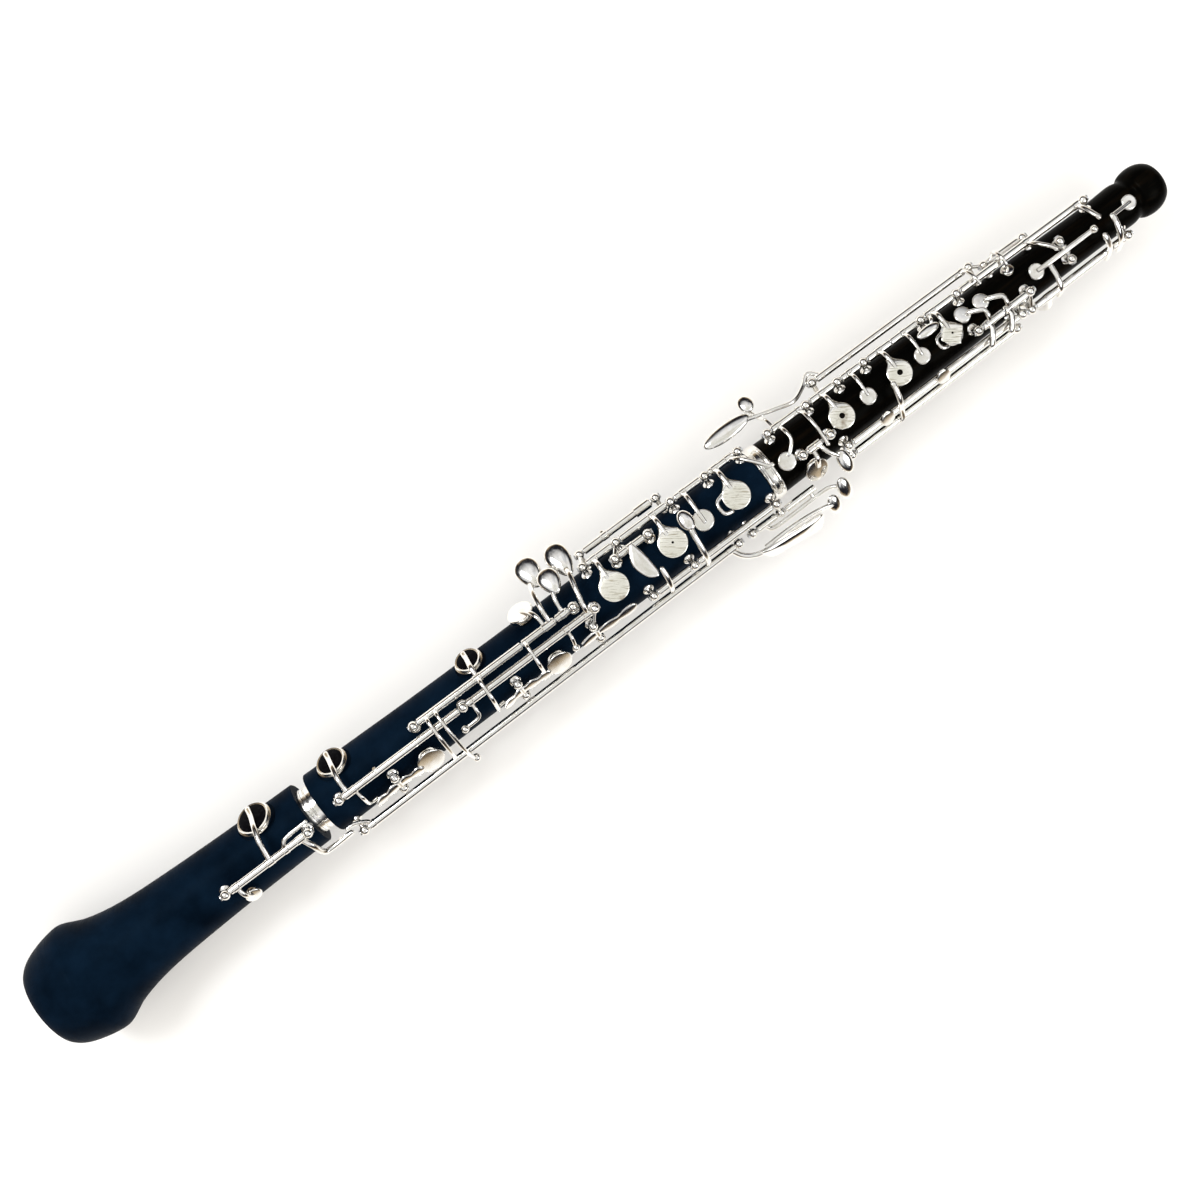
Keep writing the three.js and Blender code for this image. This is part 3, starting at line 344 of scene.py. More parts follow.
def cup(station, angle, radius, height=3, lift=0, rho=None, dark=False):
    """A pad in its cup. Its underside lies on the tone hole's rim, `lift` above it
    or at `rho`. A dark cup closes a sunk hole, and has two bright beads round a
    black enamelled lid."""
    if rho is None:
        rho = (sunk_seat if dark else seat)(station) + lift
    place = frame_at((station, angle, rho))
    skirt = height * PAD_SHARE
    edge = height - 0.55
    inner = 0.01
    pad = [
        (0.05, 0.2), (0, radius - 1.3), (0.15, radius - 0.75),
        (0.5, radius - 0.55), (skirt + 0.3, radius - 0.55), (skirt + 0.3, 0.2),
    ]
    parts = [turned("pad", soften(pad, 0.2, closed=True), place, loop=True)]
    if dark:
        wall = [(skirt - 0.35, radius - 0.5), (skirt - 0.3, radius), (skirt + 0.3, radius),
                (skirt + 0.4, radius - 0.9), (edge - 0.3, radius - 1.1),
                (edge - 0.2, radius - 0.55)]
        top = [(edge + 0.3, radius - 0.6), (edge + 0.5, radius - 0.8),
               (edge + 0.45, radius - 1.1)]
        dome = [(edge + 0.2, radius - 1.0), (edge + 0.35, radius - 1.2)]
        for k in range(7, -1, -1):
            turn = k * math.pi / 16
            dome.append((edge + 0.35 + 0.5 * math.cos(turn), (radius - 1.2) * math.sin(turn)))
    else:
        wall = [(skirt - 0.35, radius - 0.3), (skirt - 0.35, radius), (skirt + 0.25, radius)]
        top = []
        for k in range(7):
            turn = k * math.pi / 2 / 6
            top.append((edge + 0.5 * math.sin(turn), radius - 0.1 - 0.6 * (1 - math.cos(turn))))
    top += [(height + 0.03, radius * 0.6), (height + 0.0825, radius * 0.3),
            (height + 0.09, inner + 0.15), (height - 0.06, inner)]
    profile = wall + top + [(skirt - 0.1, inner), (skirt - 0.1, radius - 0.5)]
    parts.append(turned("silver", profile, place, loop=True))
    if dark:
        parts.append(turned("enamel", dome, place))
    return parts


def finger_plate(station, angle, radius, reach, height=3.2, vent=0, overlap=0):
    """A cup under a teardrop plate, whose radius is larger by the overlap."""
    place = (station, angle, seat(station) + height - 0.7)
    return [cup(station, angle, radius, height), lid(place, radius + overlap, reach, vent)]


# ---- hinge lines ----
# Each is a steel rod through ball-headed posts at its ends and at the stations
# given after them.
LINES = {
    "bell": ((88.8, -13, 20), (130.6, -13, 20)),
    "centre": ((148.6, -4.5, 18.9), (280.5, -4.5, 18.4), 212.2),
    "inner": ((191.1, 14.3, 18.6), (273.6, 14.3, 18.4)),
    "long": ((147.5, -70, 20.4), (347, -66, 18.9)),
    "main_low": ((287, 55, 18.2), (369, 55, 18.2), 304.6, 333.4, 351.6),
    "outer_low": ((289.4, 78, 20), (330, 78, 20)),
    "leaf": ((299.8, 34, 17.6), (317.2, 34, 17.6)),
    "left_low": ((304, -44.5, 18.2), (369, -44.5, 18.2), 325.6),
    "lever": ((354.6, -70, 18.6), (369.6, -70, 18.6)),
    "main_high": ((384, 53, 16.8), (555.5, 56, 14.9), 404.6, 421.4, 435.6, 466.6, 486),
    "outer_high": ((414, 79, 19.3), (499, 79, 18.9)),
    "side_octave": ((505, 76, 15.6), (526, 76, 15.2)),
    "g_sharp": ((389.8, -9, 16.6), (404.4, -9, 16.6)),
    "left_high": ((409.2, -44, 16.6), (504, -46, 15.6)),
    "left_outer": ((409.2, -66, 17.6), (500, -66, 16.6)),
    "trill": ((482.6, -19, 15.8), (511, -19, 15.4)),
    "octave": ((509.4, -54, 15.2), (563.2, -54, 14.4)),
    # Rocking levers turn on a pin across the oboe.
    "low_b_rocker": ((171.7, -28, 17.4), (171.7, -56, 17.4)),
    "low_c_rocker": ((235.8, -28, 16.8), (235.8, -56, 16.8)),
    "side_rocker": ((275.6, -26, 16.8), (275.6, -54, 16.8)),
    "octave_rocker": ((534.4, 19, 14.2), (534.4, -19, 14.2)),
}

# The lines that each set of posts holds. The first one names it.
POST_SETS = [
    ["bell"], ["centre", "side_rocker"], ["inner"], ["long"], ["main_low", "outer_low", "leaf"],
    ["left_low", "lever"], ["main_high"], ["outer_high", "side_octave"], ["g_sharp"],
    ["left_high", "left_outer"], ["octave", "trill"], ["low_b_rocker"], ["low_c_rocker"],
    ["octave_rocker"],
]

# Struts between neighbouring lines.
STRUTS = {
    "centre": [((280.5, -4.5, 18.4), (275.6, -26, 16.8))],
    "main_low": [
        ((287, 55, 18.2), (289.4, 78, 20)), ((304.6, 55, 18.2), (299.8, 34, 17.6))],
    "left_low": [((369, -44.5, 18.2), (369.6, -70, 18.6))],
    "outer_high": [((499, 79, 18.9), (505, 76, 15.6))],
    "left_high": [((409.2, -44, 16.6), (409.2, -66, 17.6))],
    "octave": [((509.4, -54, 15.2), (511, -19, 15.4))],
}


def on_line(name, station):
    start, end = (at(place) for place in LINES[name][:2])
    return start.lerp(end, (station - LENGTH / 2 - start.x) / (end.x - start.x))


def post(place, end, along):
    """A turned post: foot, neck and ball. `end` turns a screw head outward."""
    station, angle, rho = place
    foot = body_radius(station) - 0.3
    rise = rho - foot
    r = BALL_RADIUS
    profile = [
        (0, 2.5), (0.9, 2.5), (1.25, 2.1), (1.5, 1.45), (2.1, 1.1),
        (max(rise - 1.7, 2.2), 1.15),
    ]
    for k in range(3, 13):
        turn = math.pi * k / 12
        profile.append((rise - r * math.cos(turn), r * math.sin(turn)))
    parts = [turned("silver", profile, frame_at((station, angle, foot)), TUBE_SIDES)]
    if end:
        parts += screw(at(place) + along * end * (r - 0.35), along * end)
    return parts


def screw(point, direction, radius=1.25, height=0.6):
    """A screw head that looks along the direction, its slot a thin dark slab of painted shade."""
    place = axis_frame(point, direction)
    head = [(-0.6, radius), (height - 0.15, radius), (height, radius - 0.2), (height, 0)]
    slot = [Vector((x, y)) for x, y in [(-1, -0.16), (1, -0.16), (1, 0.16), (-1, 0.16)]]
    # Painted shade: a dark slab, just proud of the head, stands in for the slot.
    slot_shade = [[place @ Vector((p.x * radius * 0.8, p.y, h)) for p in slot]
              for h in (height - 0.1, height + 0.015)]
    return [turned("steel", head, place, TUBE_SIDES), skin("shadow", slot_shade)]


def hinge_line(name):
    start, end, *between = LINES[name]
    direction = (at(end) - at(start)).normalized()
    parts = [bar(start, end, ROD_RADIUS, "steel")]
    places = [start, *(polar(on_line(name, station)) for station in between), end]
    for place, side in zip(places, [-1, *[0] * len(between), 1]):
        parts += post(place, side, direction)
    return parts


# ---- keys ----
def flat(parts, line=None):
    """The parts of a nested list, in order, with the stems grown from their line."""
    for part in parts:
        part = part(line) if callable(part) else part
        if isinstance(part, list):
            yield from flat(part, line)
        else:
            yield part


def hinge_tube(start, end, radius=TUBE_RADIUS):
    """A tube with a bore, so that its rod shows at the ends."""
    length = (end - start).length
    bore = ROD_RADIUS + 0.12
    profile = [
        (0, bore), (0, radius - 0.2), (0.2, radius), (length - 0.2, radius),
        (length, radius - 0.2), (length, bore),
    ]
    return turned("silver", profile, axis_frame(start, end - start), TUBE_SIDES, loop=True)


def stem(station, places, width, fan=None):
    """An arm that grows out of its key's hinge tube, with a soldered collar. It is
    made when the key gives it the name of its line."""
    def grow(line):
        start, end = (at(place) for place in LINES[line][:2])
        root = on_line(line, station)
        half = (end - start).normalized() * (width * 0.75)
        length = half.length * 2
        low, high = TUBE_RADIUS - 0.1, TUBE_RADIUS + 0.22
        rim = [(0, low), (0.35, high), (length - 0.35, high), (length, low)]
        collar = turned("silver", rim, axis_frame(root - half, half), TUBE_SIDES)
        return [collar, arm([polar(root), *places], width, fan=fan)]
    return grow


def diamond(place, half, vent):
    """A square plate set corner-wise, with a dark disc of painted shade for a small hole."""
    corners = [(half, 0), (0, half), (-half, 0), (0, -half)]
    parts = plate(place, None, corners, 0.7, reach=1.3, crown=0.1, finish="brushed")
    # Painted shade: a dark disc stands in for the small hole.
    parts.append(turned("shadow", [(0, vent), (0.84, vent), (0.84, 0)], frame_at(place)))
    return parts


# The leaf-shaped touch, as (along, across).
LEAF = [
    (1.2, 9.5), (-1.4, 7), (-3.8, 2.5), (-4.2, -1), (-2, -7), (2, -9.8), (3.4, -7.5), (3, 1),
]


# ---- materials ----
class Nodes:
    """Adds nodes to the tree of a material or a world and links them."""

    def __init__(self, tree, coordinates):
        self.tree = tree
        self.place = self.add("TexCoord").outputs[coordinates]

    def add(self, kind, *first, **named):
        """A node with its first inputs, in order, and its named ones."""
        node = self.tree.nodes.new("ShaderNode" + kind)
        for socket, value in zip(node.inputs, first):
            self.put(socket, value)
        for name, value in named.items():
            self.put(node.inputs[name.replace("_", " ")], value)
        return node

    def put(self, socket, value):
        if isinstance(value, bpy.types.NodeSocket):
            self.tree.links.new(value, socket)
        else:
            socket.default_value = value

    def set(self, **inputs):
        shader = self.tree.nodes["Principled BSDF"]
        for name, value in inputs.items():
            self.put(shader.inputs[name.replace("_", " ")], value)

    def stretched(self, scale, turn=(0, 0, 0)):
        """The object's own coordinates, turned and then scaled."""
        turned_place = self.add(
            "Mapping", Vector=self.place, Rotation=turn).outputs[0]
        return self.add("Mapping", Vector=turned_place, Scale=scale).outputs[0]

    def noise(self, vector, scale, detail=4, roughness=0.55):
        node = self.add("TexNoise", Vector=vector, Scale=scale,
                        Detail=detail, Roughness=roughness)
        return node.outputs["Fac"]

    def math(self, operation, *inputs):
        node = self.add("Math", *inputs)
        node.operation = operation
        return node.outputs[0]

    def ramp(self, factor, stops):
        """A colour that follows the factor through (position, colour) stops."""
        node = self.add("ValToRGB", Fac=factor)
        marks = node.color_ramp.elements
        marks[0].position = stops[0][0]
        marks[1].position = stops[-1][0]
        for position, _ in stops[1:-1]:
            marks.new(position)
        for mark, (_, colour) in zip(marks, stops):
            mark.color = (*colour, 1)
        return node.outputs["Color"]

    def between(self, factor, low, high, start=0.35, end=0.65):
        """A number or a colour that follows the factor from low to high."""
        if isinstance(low, tuple):
            return self.ramp(factor, [(start, low), (end, high)])
        node = self.add("MapRange", factor, start, end, low, high)
        return node.outputs["Result"]

    def bump(self, height, strength, distance, normal=None):
        node = self.add(
            "Bump", Height=height, Strength=strength, Distance=distance * MM)
        if normal:
            self.put(node.inputs["Normal"], normal)
        return node.outputs["Normal"]


MATERIALS = {}


def finish(make):
    """Builds a material with the function and keeps it under the function's name."""
    material = bpy.data.materials.new(make.__name__)
    material.use_nodes = True
    make(Nodes(material.node_tree, "Object"))
    MATERIALS[make.__name__] = material
    return make


@finish
def silver(n):
    """Polished silver plate: faint buffing marks, fingerprints and warm tarnish."""
    smears = n.noise(n.place, 90, 5, 0.6)
    buffing = n.noise(n.stretched((2500, 260, 700), (0.5, 0.3, 0.8)), 1, 3)
    tarnish = n.noise(n.place, 240, 6, 0.65)
    colour = n.between(tarnish, (0.93, 0.915, 0.88), (0.80, 0.755, 0.68), 0.42, 0.78)
    n.set(Base_Color=colour, Metallic=1.0, Roughness=n.between(smears, 0.09, 0.2))
    n.set(Normal=n.bump(buffing, 0.12, 0.03))


@finish
def brushed(n):
    """Silver finger plates: fine slanting scratches, whose darker colour also paints reflected
    lines, and darker brown patches painted in as reflections of a dark band.
    """
    scratches = n.noise(n.stretched((160, 1500, 160), (0, 0, 0.61)), 1, 4, 0.6)
    # Painted reflection: soft dark brown patches that stand in for a dark band mirrored in the
    # dished plates.
    painted_reflection_patches = n.noise(n.place, 150, 3, 0.5)
    # The scratches are real marks, but their darker colour is partly painted reflection of lines.
    scratched_silver = n.between(scratches, (0.96, 0.94, 0.86), (0.50, 0.45, 0.34), 0.52, 0.68)
    colour = n.add("Mix")
    colour.data_type = "RGBA"
    n.put(colour.inputs["Factor"], n.between(painted_reflection_patches, 0.0, 0.8, 0.56, 0.70))
    n.put(colour.inputs[6], scratched_silver)
    n.put(colour.inputs[7], (0.34, 0.27, 0.19, 1))
    n.set(Base_Color=colour.outputs[2], Metallic=1.0, Roughness=n.between(scratches, 0.15, 0.26))
    n.set(Normal=n.bump(scratches, 0.15, 0.03))


@finish
def steel(n):
    """Polished steel rods and screws, with fine turning marks along them."""
    turning = n.noise(n.stretched((9000, 300, 300)), 1, 3)
    stain = n.noise(n.place, 300, 5)
    colour = n.between(stain, (0.66, 0.67, 0.68), (0.5, 0.48, 0.45), 0.4, 0.75)
    n.set(Base_Color=colour, Metallic=1.0, Roughness=n.between(turning, 0.18, 0.34))
    n.set(Normal=n.bump(turning, 0.25, 0.03))


@finish
def resin(n):
    """Black satin resin, tinted navy in its colour to paint the bluish sheen of its highlight
    band: a fine moulded grain with turning marks round it.
    """
    grain = n.noise(n.place, 2600, 3, 0.7)
    turning = n.noise(n.stretched((1500, 25, 25)), 1, 4)
    clouds = n.noise(n.place, 60, 4)
    # Painted sheen: the navy in these colours stands in for the bluish highlight along the body.
    # The clouds vary it at random.
    colour = n.between(clouds, (0.0008, 0.0029, 0.0070), (0.0026, 0.0090, 0.0205), 0.3, 0.7)
    n.set(Base_Color=colour, Roughness=n.between(turning, 0.36, 0.48))
    n.set(Specular_IOR_Level=0.012, Specular_Tint=(0.4, 0.7, 1.0, 1))
    fine = n.bump(grain, 0.3, 0.05)
    n.set(Normal=n.bump(turning, 0.12, 0.05, fine))


@finish
def blackwood(n):
    """Oiled black wood: long brown streaks, open pores and a polished surface."""
    streaks = n.noise(n.stretched((18, 380, 380)), 1, 6, 0.6)
    pores = n.noise(n.stretched((160, 2400, 2400)), 1, 3, 0.7)
    colour = n.between(streaks, (0.0012, 0.0011, 0.0009), (0.007, 0.0042, 0.002), 0.5, 0.85)
    n.set(Base_Color=colour, Roughness=n.between(pores, 0.22, 0.36))
    n.set(Specular_IOR_Level=0.013, Specular_Tint=(1.0, 1.0, 0.85, 1))
    n.set(Normal=n.bump(pores, 0.2, 0.04))


@finish
def cork(n):
    """Greased tenon cork: dark red-brown cells and pits."""
    cells = n.add("TexVoronoi", Vector=n.place, Scale=900).outputs["Distance"]
    patches = n.noise(n.place, 500, 6, 0.7)
    colour = n.between(patches, (0.10, 0.03, 0.02), (0.36, 0.17, 0.10), 0.3, 0.7)
    n.set(Base_Color=colour, Roughness=0.75, Specular_IOR_Level=0.3)
    n.set(Normal=n.bump(cells, 0.5, 0.12))


@finish
def enamel(n):
    """Black enamel, glossy, with a few dusty spots."""
    dust = n.noise(n.place, 700, 5, 0.7)
    colour = n.between(dust, (0.002, 0.002, 0.003), (0.012, 0.012, 0.014), 0.5, 0.85)
    n.set(Base_Color=colour, Roughness=n.between(dust, 0.14, 0.3), Specular_IOR_Level=0.03)
    n.set(Normal=n.bump(dust, 0.1, 0.03))


@finish
def pad(n):
    """Pale fish-skin pads, slightly creased."""
    creases = n.noise(n.place, 1200, 5, 0.6)
    colour = n.between(creases, (0.60, 0.50, 0.36), (0.80, 0.74, 0.62), 0.35, 0.65)
    n.set(Base_Color=colour, Roughness=0.5, Specular_IOR_Level=0.4)
    n.set(Normal=n.bump(creases, 0.35, 0.06))


@finish
def shadow(n):
    """Painted shade: dark slabs and discs that stand in for the insides of screw slots and small
    holes, with a little dust.
    """
    dust = n.noise(n.place, 2000, 3)
    n.set(Base_Color=n.between(dust, (0.001, 0.001, 0.001), (0.006, 0.005, 0.004)), Roughness=0.9)
    n.set(Specular_IOR_Level=0.02)


@finish
def floor(n):
    """Matt pale card."""
    clouds = n.noise(n.place, 6, 3)
    n.set(Base_Color=n.between(clouds, (0.90, 0.895, 0.885), (0.93, 0.928, 0.92)), Roughness=0.7)


# ---- pieces ----
def mesh_object(name, parts):
    """One object from skins, with a material for each finish."""
    points, faces, slots, order = [], [], [], []
    for finish, part_points, part_faces in parts:
        if finish not in order:
            order.append(finish)
        base = len(points)
        points += [p * MM for p in part_points]
        faces += [tuple(base + i for i in face) for face in part_faces]
        slots += [order.index(finish)] * len(part_faces)
    mesh = bpy.data.meshes.new(name)
    mesh.from_pydata(points, [], faces)
    for finish in order:
        mesh.materials.append(MATERIALS[finish])
    mesh.polygons.foreach_set("material_index", slots)
    tidy_mesh(mesh)
    piece = bpy.data.objects.new(name, mesh)
    bpy.context.scene.collection.objects.link(piece)
    return piece


def tidy_mesh(mesh):
    """Faces point outward and are smooth, with creases kept sharp."""
    work = bmesh.new()
    work.from_mesh(mesh)
    bmesh.ops.recalc_face_normals(work, faces=work.faces)
    work.to_mesh(mesh)
    work.free()
    mesh.shade_smooth()
    mesh.set_sharp_from_angle(angle=SHARP)


def place_piece(piece, body, slot, *nodes):
    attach(piece, body)
    if nodes:
        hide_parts(*nodes)


def add_key_pieces(name, parts):
    metal = mesh_object(f"{name}_metal", [part for part in parts if part[0] != "pad"])
    place_piece(metal, name, "silver", name)
    pads = [part for part in parts if part[0] == "pad"]
    if pads:
        place_piece(mesh_object(f"{name}_pads", pads), name, "pad")


def add_key(name, line, start, end, resting=(), opened=0, closed=(), radius=TUBE_RADIUS):
    """A key: its hinge tube on a line and what is soldered to it. `closed` parts
    are given with the pad on its seat and are swung open for rest."""
    start, end = on_line(line, start), on_line(line, end)
    parts = [hinge_tube(start, end, radius), *flat(resting, line)]
    swing = Matrix.Rotation(math.radians(opened), 4, end - start)
    swing = Matrix.Translation(start) @ swing @ Matrix.Translation(-start)
    for finish, points, faces in flat(closed, line):
        parts.append((finish, [swing @ p for p in points], faces))
    add_key_pieces(name, parts)


def add_rocker(name, line, resting):
    """A key that rocks on a pin of its own."""
    a, b = (at(place) for place in LINES[line])
    tube = hinge_tube(a.lerp(b, 0.3), a.lerp(b, 0.7))
    add_key_pieces(name, [tube, *flat(resting)])


def add_posts(lines):
    name = lines[0]
    parts = []
    for line in lines:
        parts += hinge_line(line)
    for start, end in STRUTS.get(name, []):
        parts.append(bar(start, end, ROD_RADIUS))
    piece = mesh_object(f"{name}_posts_turned", parts)
    place_piece(piece, "body", "steel", f"{name}_posts")


# ---- the bodies ----
# Tone holes, as (station, angle, hole radius, rim radius). A raised hole has a
# rim proud of the wood; a sunk one lies in a round flat cut into it.
RAISED = {
    "bell": [(96.3, -43, 1.8, 3)],
    "lower": [
        (188, -42, 3.8, 5.2), (254.6, 61, 3.8, 5.2), (255.4, -42, 3.4, 4.8),
        (292.5, 0.7, 3.4, 5), (323.2, 0.7, 3.4, 5), (339.3, 0, 2, 3.4), (356.6, 0.5, 3.2, 4.8),
    ],
    "upper": [
        (383.1, -3, 2.4, 3.8), (392.3, -47, 2.8, 4.2), (412.9, 0, 2.6, 4.2),
        (427.3, 0, 1.6, 2.8), (444, 0, 2.6, 4.2), (456.5, 0, 1.6, 2.8), (472.4, 0, 2, 3.8),
        (481.9, 18.5, 1.5, 2.7), (491.7, 18, 1.5, 2.7), (519.1, 0, 0.9, 2.4), (569.8, 0, 0.9, 2.4),
    ],
}
SUNK = {
    "bell": [(114.8, 52, 5, 8.9)],
    "lower": [(154.3, 52, 4.6, 8.1), (225, 53, 4.2, 7.3)],
    "upper": [],
}
DRILL_DEPTH = 11


def outline(start, end):
    """The outside between two stations, with its stretches made smooth."""
    inside = [p for p in BODY_PROFILE if start <= p[0] <= end]
    return [tuple(p) for p in spline(inside, 6)]


def with_holes(piece, where, finish):
    """Cuts the tone holes and the sunk seats, then adds the raised rims."""
    cutters = []
    for station, angle, radius, _ in RAISED[where] + SUNK[where]:
        surface = body_radius(station)
        cutters.append(bar((station, angle, surface - DRILL_DEPTH / 2 - 1.5),
                           (station, angle, surface + 4), radius, finish, ROUND_SIDES, 0.01))
    for station, angle, _, rim in SUNK[where]:
        place = frame_at((station, angle, body_radius(station) - SUNK_DEPTH))
        profile = [(0, rim - 0.4), (0.4, rim), (6, rim)]
        cutters.append(turned(finish, profile, place, 72))
    cutter = mesh_object(f"{piece.name}_cutter", cutters)
    hole = piece.modifiers.new("holes", "BOOLEAN")
    hole.operation = "DIFFERENCE"
    hole.object = cutter
    hole.solver = "EXACT"
    hole.use_self = True
    depsgraph = bpy.context.evaluated_depsgraph_get()
    mesh = bpy.data.meshes.new_from_object(piece.evaluated_get(depsgraph))
    piece.modifiers.clear()
    bpy.data.objects.remove(cutter)
    rims = []
    for station, angle, radius, rim in RAISED[where]:
        surface = body_radius(station)
        bottom = surface - 1.2
        height = surface + CHIMNEY - bottom
        profile = [(0, radius), (0, rim + 0.3), (height - 0.3, rim), (height, rim - 0.35),
                   (height, radius + 0.15), (height - 0.15, radius)]
        rims.append(turned(finish, profile, frame_at((station, angle, bottom)), loop=True))
    extra = mesh_object(f"{piece.name}_rims", rims)
    work = bmesh.new()
    work.from_mesh(mesh)
    work.from_mesh(extra.data)
    work.to_mesh(mesh)
    work.free()
    bpy.data.objects.remove(extra)
    piece.data = mesh
    tidy_mesh(mesh)
    smooth = piece.modifiers.new("even_normals", "WEIGHTED_NORMAL")
    smooth.keep_sharp = True


def add_body(name, where, finish, profile):
    piece = mesh_object(f"{name}_turned", [turned_body(finish, profile)])
    with_holes(piece, where, finish)
    place_piece(piece, "body", finish, name)


def add_bell():
    inside = [
        (BELL_END, 10.9), (BELL_END - SOCKET, 10.9), (BELL_END - SOCKET, 8.4), (96, 9.3),
        (60, 11.2), (38, 14.2), (22, 17), (8, 17.8), (0.4, 17.4),
    ]
    sides = outline(0, BELL_END)
    sides[-1] = (BELL_END - 0.4, sides[-1][1])
    profile = sides + [(BELL_END, 14), (BELL_END, 11.3)] + inside[:2] + [
        tuple(p) for p in spline(inside[2:], 5)] + [(0, 17.9), (0, 18.7)]
    add_body("bell", "bell", "resin", profile)


def add_lower_joint():
    tenon = [(LOWER_START - TENON, 7.4), (LOWER_START - TENON, 9.3), (LOWER_START, 9.3)]
    inside = [(LOWER_END, 9.4), (LOWER_END - TENON, 9.4), (LOWER_END - TENON, 4.6)]
    sides = outline(LOWER_START, LOWER_END)
    sides[0] = (LOWER_START + 0.4, sides[0][1])
    add_body("lower_joint", "lower", "resin", tenon + [(LOWER_START, 14.0)] + sides + inside)


def add_upper_joint():
    start = RING_END + GAP
    tenon = [(start - TENON, 4.4), (start - TENON, 7.6), (start, 7.6)]
    floor_of_well = LENGTH - WELL_DEPTH
    well = [(LENGTH, WELL_RADIUS + 0.3), (LENGTH - 0.3, WELL_RADIUS), (floor_of_well, WELL_RADIUS),
            (floor_of_well, 2.4)]
    add_body("upper_joint", "upper", "blackwood", tenon + outline(start, LENGTH) + well)


# ---- fittings on the bodies ----
def add_fitting(name, finish, profile, reach=0.3):
    ring = turned_body(finish, soften(profile, reach, closed=True))
    place_piece(mesh_object(f"{name}_turned", [ring]), "body", finish, name)


def add_fittings():
    middle = (BELL_END + LOWER_START) / 2
    add_fitting("bell_tenon_sleeve", "silver", [
        (131.2, 9.6), (131.2, 10.6), (middle - 2.2, 10.6), (middle - 2.0, 10.35),
        (middle - 1.8, 10.6), (middle - 0.35, 10.6), (middle, 10.05), (middle + 0.35, 10.6),
        (139.2, 10.6), (139.2, 9.6)], 0.12)
    for name, start, end, low, high in (("bell_tenon_cork", 120.6, 130.8, 9.6, 10.6),
                                        ("middle_tenon_cork", 359.4, 370.4, 7.9, 9.1)):
        add_fitting(name, "cork", [(start, low), (start, high), (end, high), (end, low)])
    start, end = LOWER_END + GAP, RING_END
    add_fitting("middle_ring", "silver", [
        (start, 9.4), (start, 12.7), (start + 0.5, 13.1), (start + 1.1, 12.8), (start + 1.5, 12.8),
        (start + 1.9, 13.4), (end - 2.3, 13.5), (end - 1.9, 12.9), (end - 1.5, 12.9),
        (end - 1.1, 13.3), (end - 0.4, 13.2), (end, 12.8), (end, 9.4)], 0.2)
    add_fitting("reed_well_liner", "silver", [
        (LENGTH - WELL_DEPTH + 1, 3.5), (LENGTH - WELL_DEPTH + 1, WELL_RADIUS - GAP),
        (LENGTH, WELL_RADIUS - GAP), (LENGTH, 3.5)], 0.12)


THUMB_STATION = 262
THUMB_WIDTH = 18


def box_plate(size, matrix, edge):
    """A plate with eased edges: (length, width, thickness) about the matrix."""
    length, width, thick = (s / 2 for s in size)
    corners = [(-length, -width), (length, -width), (length, width), (-length, width)]
    rings = []
    for height, inset in ((-thick, edge), (edge - thick, 0), (thick - edge, 0), (thick, edge)):
        outline = soften([(x - math.copysign(inset, x), y - math.copysign(inset, y))
                          for x, y in corners], 1.4, closed=True)
        rings.append([matrix @ Vector((p.x, p.y, height)) for p in outline])
    return skin("silver", rings)


def add_thumb_rest():
    """A screwed plate, and the adjustable hook that sits on it."""
    base = body_radius(THUMB_STATION) + GAP
    middle = frame_at((THUMB_STATION, 180, base + 1.45))
    parts = [box_plate((30, 10, 1.9), middle, 0.4)]
    down = Vector((0, 0, -1))
    for station in (THUMB_STATION - 12, THUMB_STATION + 12):
        parts += screw(at((station, 180, base + 2.2)), down, 1.9, 0.7)
    held = mesh_object("thumb_rest_plate_screwed", parts)
    place_piece(held, "body", "silver", "thumb_rest_plate")
    foot = base + 2.4 + GAP
    top = frame_at((THUMB_STATION, 180, foot + 0.9))
    side = [(-5.5, 0), (0.5, 0), (3, 5), (7.5, 7.6), (7.5, 9.2), (0, 9.2), (-3.4, 5)]
    stretch = (BELL_RADIUS - foot - 0.9) / side[4][1]
    profile = soften([(x, z * stretch) for x, z in side], 1.6, closed=True, steps=6)
    centre = sum(profile, Vector((0, 0))) / len(profile)
    half = THUMB_WIDTH / 2
    rings = []
    for across, inset in ((-half, 0.7), (0.4 - half, 0.15), (1.2 - half, 0), (half - 1.2, 0),
                          (half - 0.4, 0.15), (half, 0.7)):
        shrunk = [p - (p - centre).normalized() * inset for p in profile]
        rings.append([top @ Vector((p.x, across, p.y)) for p in shrunk])
    parts = [box_plate((11, 9, 1.8), top, 0.3), skin("silver", rings)]
    place_piece(mesh_object("thumb_rest_hook_bent", parts), "body", "silver", "thumb_rest_hook")


add_bell()
add_lower_joint()
add_upper_joint()
add_fittings()
add_thumb_rest()
for held_lines in POST_SETS:
    add_posts(held_lines)

# ---- the keys, from the bell upward ----
add_key("bell_key", "bell", 91.3, 128.1, [
    stem(94.3, [(94.6, -26, 20.4), (95.4, -37, 19.4), (96.2, -43, 18.2)], 2.2),
    cup(96.3, -43, 3.7, 2.6),
    stem(126.8, [(128.8, -28, 20.8), (129.8, -48, 20.4), (133.4, -54, 20.2),
        (144.6, -54, 19.8)], 2.8),
    stem(119.5, [(120.5, -5, 21.4), (123.6, -1, 21.6), (134, 0, 21.6)], 1.8),
], opened=5.5, closed=[
    stem(111.5, [(113, 10, 20.4), (114.2, 30, 19.2), (114.8, 52, 17.2), (114.8, 71, 18.2)], 2.6),
    cup(114.8, 52, 7.9, 2.8, dark=True),
])
add_key("low_b_key", "centre", 151.1, 209.7, [
    stem(156.2, [(157, -18, 20), (157, -34, 18), (158, -41, 16.6), (161.4, -42, 16.2)], 1.8),
    bar((168.2, -4.5, 19.4), (168.2, 2, 21.6), 0.8),
], opened=6, closed=[
    stem(153.3, [(153.6, 15, 19.4), (154.2, 34, 18), (154.3, 52, 16.5), (154.3, 69, 17.3)], 2.6),
    cup(154.3, 52, 7.1, 2.8, dark=True),
])
